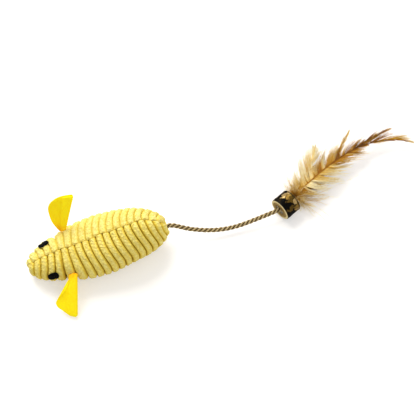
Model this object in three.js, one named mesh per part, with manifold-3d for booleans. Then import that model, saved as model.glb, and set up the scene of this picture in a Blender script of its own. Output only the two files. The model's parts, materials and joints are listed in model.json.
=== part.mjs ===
// A stuffed catnip mouse. Two corduroy side panels are sewn together round a soft filling, with felt
// ears caught in the seams, a hemp twine tail and, on the tail's end, a slice of branch that holds a
// spray of feathers. Millimetres, +Z up. The nose points to -X and the feathers lie towards +X.

import * as THREE from 'three';
import { mergeVertices } from 'three/addons/utils/BufferGeometryUtils.js';
import Module from 'manifold-3d';

const wasm = await Module();
wasm.setup();

// Clearances shared by every piece
const clearance = 0.3;
const overrun = 20;
const roundSides = 12;

// The sewn body: a teardrop bag that lies on its belly
const bodyLength = 100;
const bodyWidth = 42.4;
const bodyHeight = 35.7;
const bellyPress = 0.5;
const seamHollow = 0.4;
const clothThickness = 2;
const waleHeight = 1.4;
const waleCount = 20;
const waleLean = 6;
const waleRoundness = 0.7;
const ringsPerWale = 3;
const panelSteps = 8;
const seamFadeDegrees = 14;
const bellyFlatness = 0.85;
const tailHeight = 16;

// Shares are taken at even steps round a half circle that runs from the nose to the tail
const fullnessShares = [0.86, 0.94, 0.95, 0.93, 0.99, 1.03, 1, 0.99, 1.03, 1.12, 1.15];
const backShares = [0.22, 0.36, 0.49, 0.585, 0.715, 0.8, 0.925, 1, 0.87, 0.61];
const bellyShares = [0.195, 0.04, 0.02, 0, 0, 0, 0, 0.005, 0.125, 0.32];
const leanShares = [-2, -1.8, -1.35, -0.75, 0.65, 0.9, 1.1, 1.5, 2.1, 2.6, 2.8];

// The filling: two wads of fibre that close round a ball of dried catnip
const catnipLength = 24;
const catnipWidth = 20;
const catnipHeight = 15;
const catnipPlace = 4;
const catnipLevel = 15;
const wadRings = 14;
const wadSteps = 6;

// Felt ears, folded lengthways, whose pinched roots stand in the dart of each panel
const feltThickness = 1;
const foldGap = 0.3;
const foldDepth = 6;
const earLength = 30.2;
const earWidth = 16.4;
const earRootWidth = 4.6;
const earStand = 4;
const earRootPlace = 29;
const earTwistShare = 0.6;
const earOutlineShares = [
  [0.2, 0.3], [0.44, 0.5], [0.66, 0.68], [0.67, 0.77], [0.46, 0.85], [0.2, 0.94], [0, 1], [-0.25, 0.98],
];
const earBands = 6;
const earPoses = {
  left: { side: -1, turn: 68, heading: 20, rise: -31 },
  right: { side: 1, turn: 54, heading: -29, rise: 57 },
};

// Eyes: flat black ovals worked over two wales
const eyeLength = 7.4;
const eyeHeight = 4.6;
const eyeThickness = 0.8;
const eyePlaces = { left: 15.6, right: 14.4 };
const eyeTurns = { left: 71, right: 38 };
const eyeRingShares = [0.5, 1];
const eyeTopShare = 0.9;
const eyeRimShare = 0.5;
const eyeSides = 14;

// The tail: twisted hemp twine, its route from the exit in the seam to the bore of the bead
const twineDiameter = 2.8;
const twineSides = 8;
const twineReach = 1;
const twineStepDiameters = 2.2;
const twineRoute = [
  [49, 0, 16], [52, 0, 15.7], [55.5, -0.7, 14.7], [59, -1.9, 13.1], [63, -3.4, 11.4],
  [68, -4.9, 9.6], [74, -6.4, 7.8], [81, -7.8, 6.2], [88, -8.8, 5.3], [96, -9.3, 5],
  [104, -9.2, 5.5], [112, -8.7, 6.5], [119, -8.2, 7.4], [126, -7.5, 8.2], [132.66, -6.9, 8.75],
];
const knotDiameter = 6.8;
const knotLength = 5.6;
const knotSetback = 8.6;
const knotProfileShares = [[0, -0.5], [0.62, -0.42], [1, -0.18], [0.86, 0], [1, 0.18], [0.62, 0.42]];

// The bead: a slice of a small branch, bark on, lying on its side
const beadDiameter = 17.5;
const beadLength = 12.5;
const beadRim = 0.7;
const boreDiameter = 6.8;
const beadHeadingDegrees = 25;
const beadSides = 24;
const barkRipple = 0.25;
const barkRipples = 4;

// The glue and the bound quills that fill its bore
const glueDepth = 7;
const bindingLength = 7.5;
const bindingOverhang = 3.6;
const bindingRidge = 0.3;
const bindingRidges = 4;
const ridgeTopShares = [0.3, 0.7];

// Feathers: each quill butts on the binding. Angles are from the bead's axis, in degrees.
const quillDiameter = 0.9;
const rachisSides = 5;
const rachisSteps = 18;
const vaneThickness = 0.5;
const fanOut = 9;
const feathers = {
  feather_long: {
    length: 107, heading: 4, curl: -60, curlPower: 2.3, width: 13, bareShare: 0.12,
    barbs: 12, barbAngle: 34, seat: 2.4, spread: 2.4, sag: -6,
  },
  feather_long_second: {
    length: 95, heading: 2.4, curl: -13, curlPower: 1.2, width: 9, bareShare: 0.2,
    barbs: 10, barbAngle: 30, seat: 1.2, spread: 1.4, sag: -4,
  },
  feather_curved: {
    length: 72, heading: -0.6, curl: 22.7, curlPower: 1, width: 8.5, bareShare: 0.16,
    barbs: 10, barbAngle: 36, seat: 0, spread: 0.4, sag: -2,
  },
  feather_short: {
    length: 48, heading: 22, curl: 19, curlPower: 2.2, width: 6, bareShare: 0.18,
    barbs: 8, barbAngle: 38, seat: -1.2, spread: -0.8, sag: -0.6,
  },
};
const rachisTipShare = 0.35;
const vaneTipShare = 0.22;
const vaneTaper = 1.4;
const vaneOpeningShare = 0.12;
const vaneRootShare = 0.5;
const vaneNotchShare = 0.42;
const shortBarbShare = 0.82;

// Down: a low fan that spreads under the feathers, and a tuft that stands over the binding
const downRays = 19;
const downFirstDegrees = -95;
const downLastDegrees = 76;
const downLeastReach = 15;
const downMostReach = 46;
const downNotchShare = 0.4;
const shortRayShare = 0.8;
const downSeat = -2.4;
const downDrop = 3.4;
const tuftRays = 16;
const tuftLength = 15;
const tuftRayDiameter = 1.2;
const tuftSeat = 3.6;
const tuftPlace = 1.9;
const tuftRiseDegrees = { least: 24, most: 66 };
const tuftFanDegrees = 95;

const quarterTurn = Math.PI / 2;
const fullTurn = Math.PI * 2;
const radians = THREE.MathUtils.degToRad;
const up = new THREE.Vector3(0, 0, 1);

// Geometry helpers

function indexed(points, faces) {
  const geometry = new THREE.BufferGeometry();
  geometry.setAttribute('position', new THREE.Float32BufferAttribute(points, 3));
  geometry.setIndex(faces);
  return geometry;
}

function toSolid(geometry) {
  const plain = geometry.clone();
  plain.deleteAttribute('normal');
  plain.deleteAttribute('uv');
  const merged = mergeVertices(plain);
  const vertProperties = new Float32Array(merged.attributes.position.array);
  const triVerts = new Uint32Array(merged.index.array);
  return new wasm.Manifold(new wasm.Mesh({ numProp: 3, vertProperties, triVerts }));
}

function toGeometry(solid) {
  const mesh = solid.getMesh();
  const geometry = indexed(Array.from(mesh.vertProperties), Array.from(mesh.triVerts));
  geometry.computeVertexNormals();
  return geometry;
}

// Closes a row of rings, each with the same number of points, with a point at either end.
function loft(startPole, rings, endPole) {
  const sides = rings[0].length;
  const points = [startPole, ...rings.flat(), endPole];
  const last = points.length - 1;
  const faces = [];
  for (let side = 0; side < sides; side += 1) {
    const next = (side + 1) % sides;
    faces.push(0, 1 + side, 1 + next);
    for (let ring = 0; ring < rings.length - 1; ring += 1) {
      const here = 1 + ring * sides;
      const there = here + sides;
      faces.push(here + side, there + side, there + next, here + side, there + next, here + next);
    }
    const end = 1 + (rings.length - 1) * sides;
    faces.push(end + side, last, end + next);
  }
  return facingOut(indexed(points.flatMap((point) => point.toArray()), faces));
}

// Closes the space between two sheets of points that have the same rows and columns.
function between(upper, lower) {
  const rows = upper.length;
  const columns = upper[0].length;
  const points = [...upper.flat(), ...lower.flat()];
  const faces = [];
  const at = (sheet, row, column) => sheet * rows * columns + row * columns + column;
  const quad = (a, b, c, d) => faces.push(a, b, c, a, c, d);
  for (let row = 0; row < rows - 1; row += 1) {
    for (let column = 0; column < columns - 1; column += 1) {
      quad(at(0, row, column), at(0, row + 1, column), at(0, row + 1, column + 1), at(0, row, column + 1));
      quad(at(1, row, column), at(1, row, column + 1), at(1, row + 1, column + 1), at(1, row + 1, column));
    }
  }
  for (let row = 0; row < rows - 1; row += 1) {
    quad(at(0, row, 0), at(1, row, 0), at(1, row + 1, 0), at(0, row + 1, 0));
    const end = columns - 1;
    quad(at(0, row + 1, end), at(1, row + 1, end), at(1, row, end), at(0, row, end));
  }
  for (let column = 0; column < columns - 1; column += 1) {
    quad(at(0, 0, column + 1), at(1, 0, column + 1), at(1, 0, column), at(0, 0, column));
    const end = rows - 1;
    quad(at(0, end, column), at(1, end, column), at(1, end, column + 1), at(0, end, column + 1));
  }
  return facingOut(indexed(points.flatMap((point) => point.toArray()), faces));
}

// Turns the faces over when they enclose a negative volume.
function facingOut(geometry) {
  const { position } = geometry.attributes;
  const index = geometry.index.array;
  const [a, b, c] = [new THREE.Vector3(), new THREE.Vector3(), new THREE.Vector3()];
  let volume = 0;
  for (let face = 0; face < index.length; face += 3) {
    a.fromBufferAttribute(position, index[face]);
    b.fromBufferAttribute(position, index[face + 1]);
    c.fromBufferAttribute(position, index[face + 2]);
    volume += a.dot(b.cross(c));
  }
  if (volume < 0) {
    geometry.setIndex(Array.from(index).reverse());
  }
  geometry.computeVertexNormals();
  return geometry;
}

function block(lowest, highest) {
  const size = highest.clone().sub(lowest);
  const centre = lowest.clone().add(highest).multiplyScalar(0.5);
  return new THREE.BoxGeometry(...size).translate(...centre);
}

function curveOf(shares) {
  const steps = shares.length - 1;
  const curve = new THREE.SplineCurve(shares.map((share, step) => new THREE.Vector2(step / steps, share)));
  return (place) => curve.getPoint(THREE.MathUtils.clamp(place, 0, 1)).y;
}

// The body's surface

const fullness = curveOf(fullnessShares);
const backLine = curveOf([...backShares, tailHeight / bodyHeight]);
const bellyRest = waleHeight - seamHollow - bellyPress;
const bellyLine = curveOf([...bellyShares, (tailHeight - bellyRest) / bodyHeight]);
const leaning = curveOf(leanShares);

// A station runs from 0 at the nose to 1 at the tail, round a half circle.
const stationAt = (x) => Math.acos(THREE.MathUtils.clamp((-2 * x) / bodyLength, -1, 1)) / Math.PI;

// A turn of 0 is the back, a quarter turn is the right side and half a turn is the belly.
function teardrop(station, turn) {
  const halfWidth = (bodyWidth / 2 - waleHeight) * Math.sin(Math.PI * station) * fullness(station);
  const back = bodyHeight * backLine(station);
  const belly = bellyRest + bodyHeight * bellyLine(station);
  const rise = Math.cos(turn);
  const roundedRise = rise < 0 ? -(Math.abs(rise) ** bellyFlatness) : rise;
  return new THREE.Vector3(
    (-bodyLength / 2) * Math.cos(Math.PI * station),
    halfWidth * Math.sin(turn),
    (back + belly) / 2 + ((back - belly) / 2) * roundedRise,
  );
}

function outward(station, turn) {
  const step = 1e-4;
  const along = teardrop(Math.min(station + step, 1), turn).sub(teardrop(Math.max(station - step, 0), turn));
  const around = teardrop(station, turn + step).sub(teardrop(station, turn - step));
  return along.cross(around).normalize();
}

const onBody = (station, turn, height) =>
  teardrop(station, turn).addScaledVector(outward(station, turn), height);

const noseAt = (inset) => teardrop(0, 0).add(new THREE.Vector3(inset, 0, 0));
const tailAt = (inset) => teardrop(1, 0).sub(new THREE.Vector3(inset, 0, 0));

// A wale starts at the seam on the back and leans forwards or backwards on its way down the side.
function walePoint(waleShare, turn) {
  const station = stationAt(bodyLength * (waleShare - 0.5));
  const lean = waleLean * leaning(station) * Math.sin(Math.PI * station) ** 2 * Math.sin(turn) ** 2;
  const leaned = stationAt(bodyLength * (waleShare - 0.5) + lean);
  const fromSeam = quarterTurn - Math.abs(Math.abs(turn) - quarterTurn);
  const fade = Math.min(fromSeam / radians(seamFadeDegrees), 1);
  const swell = Math.abs(Math.sin(Math.PI * waleCount * waleShare)) ** waleRoundness;
  return onBody(leaned, turn, waleHeight * swell * fade);
}

// Turns round a section, with a narrow step on each side of the seams
function sectionTurns(steps) {
  const side = [0, radians(seamFadeDegrees)];
  const wide = Math.PI - 2 * radians(seamFadeDegrees);
  for (let step = 1; step < steps; step += 1) {
    side.push(radians(seamFadeDegrees) + (wide * step) / steps);
  }
  side.push(Math.PI - radians(seamFadeDegrees), Math.PI);
  return [...side, ...side.slice(1, -1).reverse().map((turn) => -turn)];
}

function ribbedSolid() {
  const rows = waleCount * ringsPerWale;
  const turns = sectionTurns(panelSteps);
  const rings = [];
  for (let row = 1; row < rows; row += 1) {
    rings.push(turns.map((turn) => walePoint(row / rows, turn)));
  }
  return toSolid(loft(noseAt(0), rings, tailAt(0)));
}

function insetSolid(inset) {
  const turns = sectionTurns(wadSteps);
  const rings = [];
  for (let row = 1; row < wadRings; row += 1) {
    rings.push(turns.map((turn) => onBody(row / wadRings, turn, -inset)));
  }
  return toSolid(loft(noseAt(inset), rings, tailAt(inset)));
}

function sideBlock(side) {
  const near = (side * clearance) / 2;
  const far = side * (bodyWidth / 2 + overrun);
  const [low, high] = side < 0 ? [far, near] : [near, far];
  const reach = bodyLength / 2 + overrun;
  return toSolid(block(
    new THREE.Vector3(-reach, low, 0),
    new THREE.Vector3(reach, high, bodyHeight + overrun),
  ));
}

// The ears

// The way an ear points, and the level way across it towards the nose
function earWays({ side, heading, rise }) {
  const level = Math.cos(radians(rise));
  const reach = new THREE.Vector3(
    -Math.sin(radians(heading)) * level,
    side * Math.cos(radians(heading)) * level,
    Math.sin(radians(rise)),
  );
  const forward = new THREE.Vector3().crossVectors(up, reach).multiplyScalar(side).normalize();
  return { reach, forward };
}

// The frame of an ear's root: its place on the body, its hinge line and the way out of the cloth
function earRoot(pose) {
  const station = stationAt(earRootPlace - bodyLength / 2);
  const angle = pose.side * radians(pose.turn);
  const out = outward(station, angle);
  const { forward } = earWays(pose);
  const line = forward.addScaledVector(out, -forward.dot(out)).normalize();
  return { centre: onBody(station, angle, waleHeight), line, out };
}

// The ear's middle line and, at each place along it, the way across the felt and the way out of it
function earRibbon(pose) {
  const { centre, line, out } = earRoot(pose);
  const { reach, forward } = earWays(pose);
  const tip = centre.clone().addScaledVector(reach, earLength);
  const spine = new THREE.QuadraticBezierCurve3(centre, centre.clone().addScaledVector(out, earStand), tip);
  return (place) => {
    const tangent = spine.getTangent(place);
    const across = line.clone().lerp(forward, THREE.MathUtils.smoothstep(place, 0, earTwistShare));
    across.addScaledVector(tangent, -across.dot(tangent)).normalize();
    const lift = new THREE.Vector3().crossVectors(tangent, across).multiplyScalar(-pose.side);
    return { point: spine.getPoint(place), across, lift };
  };
}

function earSheet(pose) {
  const ribbon = earRibbon(pose);
  const layer = feltThickness + foldGap;
  const flat = earOutlineShares.length - 1;
  const rootStep = (earRootWidth - layer / 2) / flat;
  const columns = earOutlineShares.map(([across, along], column) => (
    { tip: across * earWidth, along, root: earRootWidth / 2 - column * rootStep, under: 0 }
  ));
  const fold = columns[flat];
  for (const [under, inner] of [[0.5, 0], [1, 0], [1, 0.5], [1, 1]]) {
    const bulge = (layer / 2) * Math.sin(Math.PI * under);
    columns.push({
      tip: fold.tip - bulge + inner * foldDepth,
      along: fold.along,
      root: fold.root - bulge + (inner * earRootWidth) / 2,
      under,
    });
  }
  const rows = Array.from({ length: earBands + 1 }, (_, band) => {
    const share = band / earBands;
    return columns.map(({ tip, along, root, under }) => {
      const { point, across, lift } = ribbon(along * share);
      point.addScaledVector(across, THREE.MathUtils.lerp(root, tip, share));
      point.addScaledVector(lift, layer * (0.5 - under));
      const away = lift.multiplyScalar(Math.cos(Math.PI * under));
      return { point, away: away.addScaledVector(across, -Math.sin(Math.PI * under)) };
    });
  });
  const face = (sign) => rows.map((row) => row.map(({ point, away }) =>
    point.clone().addScaledVector(away, (sign * feltThickness) / 2)));
  return between(face(1), face(-1));
}

// Room for the ear's root to turn in: a round groove along its hinge line
function earGroove(pose) {
  const { centre, line } = earRoot(pose);
  const radius = feltThickness + foldGap / 2 + clearance;
  const groove = new THREE.CylinderGeometry(radius, radius, earRootWidth + 4 * clearance, roundSides);
  groove.applyQuaternion(new THREE.Quaternion().setFromUnitVectors(new THREE.Vector3(0, 1, 0), line));
  return toSolid(groove.translate(...centre));
}

// The eyes lie on the wales, whose shape they follow.
function eyePatch(side, place, turnDegrees) {
  const middle = stationAt(place - bodyLength / 2);
  const centre = teardrop(middle, side * radians(turnDegrees));
  const halfWidth = Math.hypot(centre.y, centre.z - tailHeight);
  const at = (ring, angle, height) => {
    const along = (ring * Math.cos(angle) * eyeLength) / 2;
    const turn = side * radians(turnDegrees) + (ring * Math.sin(angle) * eyeHeight) / 2 / halfWidth;
    return onBody(stationAt(centre.x + along), turn, waleHeight + clearance + height);
  };
  const ringOf = (ring, height) => Array.from({ length: eyeSides }, (_, step) =>
    at(ring, (fullTurn * step) / eyeSides, height));
  const lower = eyeRingShares.map((ring) => ringOf(ring, 0));
  const upper = eyeRingShares.map((ring) =>
    ringOf(ring * eyeTopShare, eyeThickness * (1 - ring * eyeRimShare))).reverse();
  return loft(at(0, 0, 0), [...lower, ...upper], at(0, 0, eyeThickness));
}

// The panels, the filling and the tail's anchor

const tailExit = tailAt(0);
const swingRoom = Math.hypot(twineReach, twineDiameter / 2) + 2 * clearance;

function panels() {
  const cavity = insetSolid(clothThickness);
  const dimple = new THREE.SphereGeometry(swingRoom, roundSides, roundSides);
  const exitRoom = toSolid(dimple.translate(...tailExit));
  const stitchHole = new THREE.CylinderGeometry(
    twineDiameter / 2 + clearance,
    twineDiameter / 2 + clearance,
    knotSetback,
    twineSides,
  ).rotateZ(quarterTurn).translate(tailExit.x - knotSetback / 2, tailExit.y, tailExit.z);
  let bag = ribbedSolid().subtract(cavity).subtract(exitRoom).subtract(toSolid(stitchHole));
  for (const pose of Object.values(earPoses)) {
    bag = bag.subtract(earGroove(pose));
  }
  return { left: bag.intersect(sideBlock(-1)), right: bag.intersect(sideBlock(1)) };
}

const catnipCentre = new THREE.Vector3(catnipPlace, 0, catnipLevel);

function catnipBall(growth) {
  const ball = new THREE.SphereGeometry(1, roundSides, roundSides);
  ball.scale(catnipLength / 2 + growth, catnipWidth / 2 + growth, catnipHeight / 2 + growth);
  return ball.translate(...catnipCentre);
}

function wads() {
  const stuffing = insetSolid(clothThickness + clearance).subtract(toSolid(catnipBall(clearance)));
  const wide = bodyWidth + overrun;
  const slab = (from, to) => toSolid(block(
    new THREE.Vector3(from, -wide, -overrun),
    new THREE.Vector3(to, wide, bodyHeight + overrun),
  ));
  const knotFront = tailExit.x - knotSetback - knotLength / 2;
  return {
    front: stuffing.intersect(slab(-bodyLength, catnipPlace - clearance / 2)),
    rear: stuffing.intersect(slab(catnipPlace + clearance / 2, knotFront - clearance)),
  };
}

// A knot inside the tail end and the short stretch of twine that it holds in the seam
function anchorKnot() {
  const radius = knotDiameter / 2;
  const points = knotProfileShares.map(([out, along]) => new THREE.Vector2(out * radius, along * knotLength));
  const stubEnd = knotSetback - swingRoom;
  points.push(new THREE.Vector2(twineDiameter / 2, 0.5 * knotLength));
  points.push(new THREE.Vector2(twineDiameter / 2, stubEnd));
  points.push(new THREE.Vector2(0, stubEnd));
  const knot = new THREE.LatheGeometry(points, roundSides).rotateZ(-quarterTurn);
  return knot.translate(tailExit.x - knotSetback, tailExit.y, tailExit.z);
}

// The free twine

function twineTube() {
  const route = new THREE.CatmullRomCurve3(twineRoute.map((point) => new THREE.Vector3(...point)));
  const section = new THREE.Shape();
  for (let side = 0; side < twineSides; side += 1) {
    const angle = (fullTurn * (side + 0.5)) / twineSides;
    const [x, y] = [(twineDiameter / 2) * Math.cos(angle), (twineDiameter / 2) * Math.sin(angle)];
    if (side === 0) {
      section.moveTo(x, y);
    } else {
      section.lineTo(x, y);
    }
  }
  const steps = Math.round(route.getLength() / (twineStepDiameters * twineDiameter));
  return new THREE.ExtrudeGeometry(section, { steps, extrudePath: route, bevelEnabled: false });
}

// The bead, in its own frame: +X runs along the bore from the face where the twine enters

function beadSlice() {
  const radius = beadDiameter / 2;
  const bore = boreDiameter / 2;
  const profile = [
    [bore, 0], [radius - beadRim, 0], [radius, beadRim], [radius, beadLength / 3],
    [radius, (2 * beadLength) / 3], [radius, beadLength - beadRim], [radius - beadRim, beadLength],
    [bore, beadLength], [bore, 0],
  ].map(([out, along]) => new THREE.Vector2(out, along));
  const slice = new THREE.LatheGeometry(profile, beadSides).rotateZ(-quarterTurn);
  const { position } = slice.attributes;
  const point = new THREE.Vector3();
  for (let index = 0; index < position.count; index += 1) {
    point.fromBufferAttribute(position, index);
    const out = Math.hypot(point.y, point.z);
    const angle = Math.atan2(point.y, point.z);
    const bark = (out - bore) / (radius - bore);
    const ripple = barkRipple * (Math.cos(barkRipples * angle) - 1) * bark * Math.sin(angle / 2) ** 2;
    const grown = (out + ripple) / out;
    position.setXYZ(index, point.x, point.y * grown, point.z * grown);
  }
  return toGeometry(toSolid(slice));
}

function gluePlug() {
  const radius = boreDiameter / 2 - clearance;
  const plug = new THREE.CylinderGeometry(radius, radius, glueDepth, roundSides).rotateZ(-quarterTurn);
  const dimple = new THREE.SphereGeometry(swingRoom, roundSides, roundSides);
  return toGeometry(toSolid(plug.translate(glueDepth / 2, 0, 0)).subtract(toSolid(dimple)));
}

const bindingStart = beadLength + bindingOverhang - bindingLength;
const bindingEnd = beadLength + bindingOverhang;
const bindingRadius = boreDiameter / 2 - clearance;

function quillBinding() {
  const inside = bindingRadius - bindingRidge;
  const points = [new THREE.Vector2(0, bindingStart), new THREE.Vector2(inside, bindingStart)];
  const pitch = bindingLength / bindingRidges;
  for (let ridge = 0; ridge < bindingRidges; ridge += 1) {
    for (const top of ridgeTopShares) {
      points.push(new THREE.Vector2(bindingRadius, bindingStart + pitch * (ridge + top)));
    }
    points.push(new THREE.Vector2(inside, bindingStart + pitch * (ridge + 1)));
  }
  points.push(new THREE.Vector2(0, bindingEnd));
  return new THREE.LatheGeometry(points, roundSides).rotateZ(-quarterTurn);
}

// The feathers

// How high a feather lies at a distance from its quill's end
function featherLevel({ seat, spread, sag, length }, distance) {
  const opened = THREE.MathUtils.smoothstep(distance, 0, fanOut);
  return seat + spread * opened + sag * (distance / length) ** 2;
}

function rachisCurve({ length, heading, curl, curlPower }) {
  const places = [new THREE.Vector2(bindingEnd + clearance, 0)];
  const headings = [radians(heading)];
  for (let step = 1; step <= rachisSteps; step += 1) {
    const share = step / rachisSteps;
    const angle = radians(heading + curl * share ** curlPower);
    const stride = length / rachisSteps;
    const place = places[step - 1].clone();
    places.push(place.add(new THREE.Vector2(Math.cos(angle), Math.sin(angle)).multiplyScalar(stride)));
    headings.push(angle);
  }
  return { places, headings };
}

function featherBlade(options) {
  const { width, bareShare, barbs, barbAngle } = options;
  const { places, headings } = rachisCurve(options);
  const start = places[0];
  const levelAt = (x, y) => featherLevel(options, Math.hypot(x - start.x, y - start.y));

  const along = (share) => {
    const index = Math.min(share * rachisSteps, rachisSteps - 1e-6);
    const step = Math.floor(index);
    const place = places[step].clone().lerp(places[step + 1], index - step);
    return { place, angle: THREE.MathUtils.lerp(headings[step], headings[step + 1], index - step) };
  };
  const vaneWidth = (share) => {
    const part = (share - bareShare) / (1 - bareShare);
    const opening = Math.min(vaneRootShare + part / vaneOpeningShare, 1);
    return width * opening * THREE.MathUtils.lerp(vaneTipShare, 1, (1 - part) ** vaneTaper);
  };
  const edge = (side) => {
    const points = [];
    for (let barb = 0; barb < barbs; barb += 1) {
      const share = bareShare + ((1 - bareShare) * barb) / barbs;
      const reach = vaneWidth(share) * (barb % 2 ? 1 : shortBarbShare);
      const { place, angle } = along(share);
      const leaned = angle + side * radians(barbAngle);
      const point = (length) => new THREE.Vector2(Math.cos(leaned), Math.sin(leaned))
        .multiplyScalar(length / Math.sin(radians(barbAngle))).add(place);
      points.push(point(reach * vaneNotchShare), point(reach));
    }
    return points;
  };
  const tip = along(1);
  const outline = [along(bareShare).place, ...edge(-1), tip.place, ...edge(1).reverse()];
  const vane = new THREE.ExtrudeGeometry(new THREE.Shape(outline), {
    depth: vaneThickness,
    bevelEnabled: false,
  }).translate(0, 0, -vaneThickness / 2);
  const { position } = vane.attributes;
  for (let index = 0; index < position.count; index += 1) {
    const level = levelAt(position.getX(index), position.getY(index));
    position.setZ(index, position.getZ(index) + level);
  }

  const rings = places.map((place, step) => {
    const radius = (quillDiameter / 2) * THREE.MathUtils.lerp(1, rachisTipShare, step / rachisSteps);
    const level = levelAt(place.x, place.y);
    return Array.from({ length: rachisSides }, (_, corner) => {
      const angle = (fullTurn * corner) / rachisSides;
      const sideways = radius * Math.cos(angle);
      return new THREE.Vector3(
        place.x - sideways * Math.sin(headings[step]),
        place.y + sideways * Math.cos(headings[step]),
        level + radius * Math.sin(angle),
      );
    });
  });
  const first = new THREE.Vector3(start.x, start.y, levelAt(start.x, start.y));
  const last = places[rachisSteps];
  const end = new THREE.Vector3(last.x, last.y, levelAt(last.x, last.y));
  return toGeometry(toSolid(loft(first, rings, end)).add(toSolid(vane)));
}

function downFan() {
  const centre = new THREE.Vector2(bindingEnd + clearance, 0);
  const outline = [];
  for (let ray = 0; ray < downRays; ray += 1) {
    const share = ray / (downRays - 1);
    const gapDegrees = (downLastDegrees - downFirstDegrees) / (downRays - 1);
    const angle = downFirstDegrees + gapDegrees * ray;
    const middle = Math.cos(Math.PI * (share - 0.5)) ** 2;
    const swing = ray % 2 ? 1 : shortRayShare;
    const reach = THREE.MathUtils.lerp(downLeastReach, downMostReach, middle) * swing;
    const point = (degrees, length) => new THREE.Vector2(
      centre.x + length * Math.cos(radians(degrees)),
      centre.y + length * Math.sin(radians(degrees)),
    );
    outline.push(point(angle, reach));
    if (ray < downRays - 1) {
      outline.push(point(angle + gapDegrees / 2, reach * downNotchShare));
    }
  }
  outline.push(centre);
  const fan = new THREE.ExtrudeGeometry(new THREE.Shape(outline), {
    depth: vaneThickness,
    bevelEnabled: false,
  }).translate(0, 0, -vaneThickness / 2);
  const { position } = fan.attributes;
  for (let index = 0; index < position.count; index += 1) {
    const distance = Math.hypot(position.getX(index) - centre.x, position.getY(index) - centre.y);
    const level = downSeat - downDrop * THREE.MathUtils.smoothstep(distance, 0, fanOut);
    position.setZ(index, position.getZ(index) + level);
  }
  return toGeometry(toSolid(fan));
}

function downTuft() {
  const root = new THREE.Vector3(beadLength + tuftPlace, 0, tuftSeat + tuftRayDiameter / 2);
  let tuft = toSolid(new THREE.SphereGeometry(tuftRayDiameter / 2, 8, 6).translate(...root));
  for (let ray = 0; ray < tuftRays; ray += 1) {
    const share = (ray + 0.5) / tuftRays;
    const around = radians(tuftFanDegrees * (2 * share - 1));
    const rise = radians(ray % 2 ? tuftRiseDegrees.least : tuftRiseDegrees.most);
    const reach = tuftLength * (ray % 3 ? 1 : shortRayShare);
    const way = new THREE.Vector3(
      Math.cos(around) * Math.cos(rise),
      Math.sin(around) * Math.cos(rise),
      Math.sin(rise),
    );
    const barb = new THREE.ConeGeometry(tuftRayDiameter / 2, reach, 4).translate(0, reach / 2, 0);
    barb.applyQuaternion(new THREE.Quaternion().setFromUnitVectors(new THREE.Vector3(0, 1, 0), way));
    tuft = tuft.add(toSolid(barb.translate(...root)));
  }
  return toGeometry(tuft);
}

// Materials

const finish = (color, roughness, metalness = 0) =>
  new THREE.MeshStandardMaterial({ color, roughness, metalness });

const corduroy = () => finish(0xe7cf62, 0.95);
const felt = () => finish(0xf6d40c, 0.9);
const eyeBlack = () => finish(0x0c0b0d, 0.6);
const fibre = () => finish(0xf2efe6, 1);
const driedLeaf = () => finish(0x7d8450, 1);
const hemp = () => finish(0xa08a5c, 0.85);
const branch = () => finish(0x6d5230, 0.35);
const clearGlue = () => finish(0xe9e2cf, 0.15);
const boundQuill = () => finish(0x8a6a33, 0.6);
const feather = (color) => finish(color, 0.6);

// The assembly

const toy = new THREE.Group();

function add(parent, name, geometry, material) {
  const mesh = new THREE.Mesh(geometry, material);
  mesh.name = name;
  parent.add(mesh);
  return mesh;
}

const { left, right } = panels();
add(toy, 'side_panel_left', toGeometry(left), corduroy());
add(toy, 'side_panel_right', toGeometry(right), corduroy());

const { front, rear } = wads();
add(toy, 'filling_front', toGeometry(front), fibre());
add(toy, 'filling_rear', toGeometry(rear), fibre());
add(toy, 'catnip_charge', catnipBall(0), driedLeaf());

for (const [side, pose] of Object.entries(earPoses)) {
  add(toy, `ear_${side}`, earSheet(pose), felt());
  add(toy, `eye_${side}`, eyePatch(pose.side, eyePlaces[side], eyeTurns[side]), eyeBlack());
}

add(toy, 'tail_anchor_knot', anchorKnot(), hemp());
const twine = add(toy, 'tail_twine', twineTube(), hemp());

const charm = new THREE.Group();
const [entryX, entryY] = twineRoute[twineRoute.length - 1];
const beadAxis = radians(beadHeadingDegrees);
charm.rotation.z = beadAxis;
charm.position.set(
  entryX - twineReach * Math.cos(beadAxis),
  entryY - twineReach * Math.sin(beadAxis),
  beadDiameter / 2,
);
toy.add(charm);
add(charm, 'wood_bead', beadSlice(), branch());
add(charm, 'glue_plug', gluePlug(), clearGlue());
add(charm, 'quill_binding', quillBinding(), boundQuill());
const featherColours = {
  feather_long: 0xb98a3c,
  feather_long_second: 0x7d5632,
  feather_curved: 0xc9a566,
  feather_short: 0xe6d2a2,
};
for (const [name, options] of Object.entries(feathers)) {
  add(charm, name, featherBlade(options), feather(featherColours[name]));
}
add(charm, 'feather_downy', downFan(), feather(0xe3cf9f));
add(charm, 'down_tuft', downTuft(), feather(0xecdcb4));

// The origin is on the ground, under the middle of everything but the twine.
toy.remove(twine);
toy.updateMatrixWorld(true);
const extent = new THREE.Box3().setFromObject(toy, true);
const middle = extent.getCenter(new THREE.Vector3());
toy.add(twine);
toy.position.set(-middle.x, -middle.y, -extent.min.z);
toy.updateMatrixWorld(true);

export default toy;
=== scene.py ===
# %% [markdown]
# This lesson dresses a cat toy: a stuffed corduroy mouse with felt ears, a twine tail and a charm of
# feathers glued into a slice of branch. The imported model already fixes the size, the place and the motion
# of every piece, so nothing here is moved or resized. Each cell adds one piece or one finish.

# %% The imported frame
import json
import math

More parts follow.
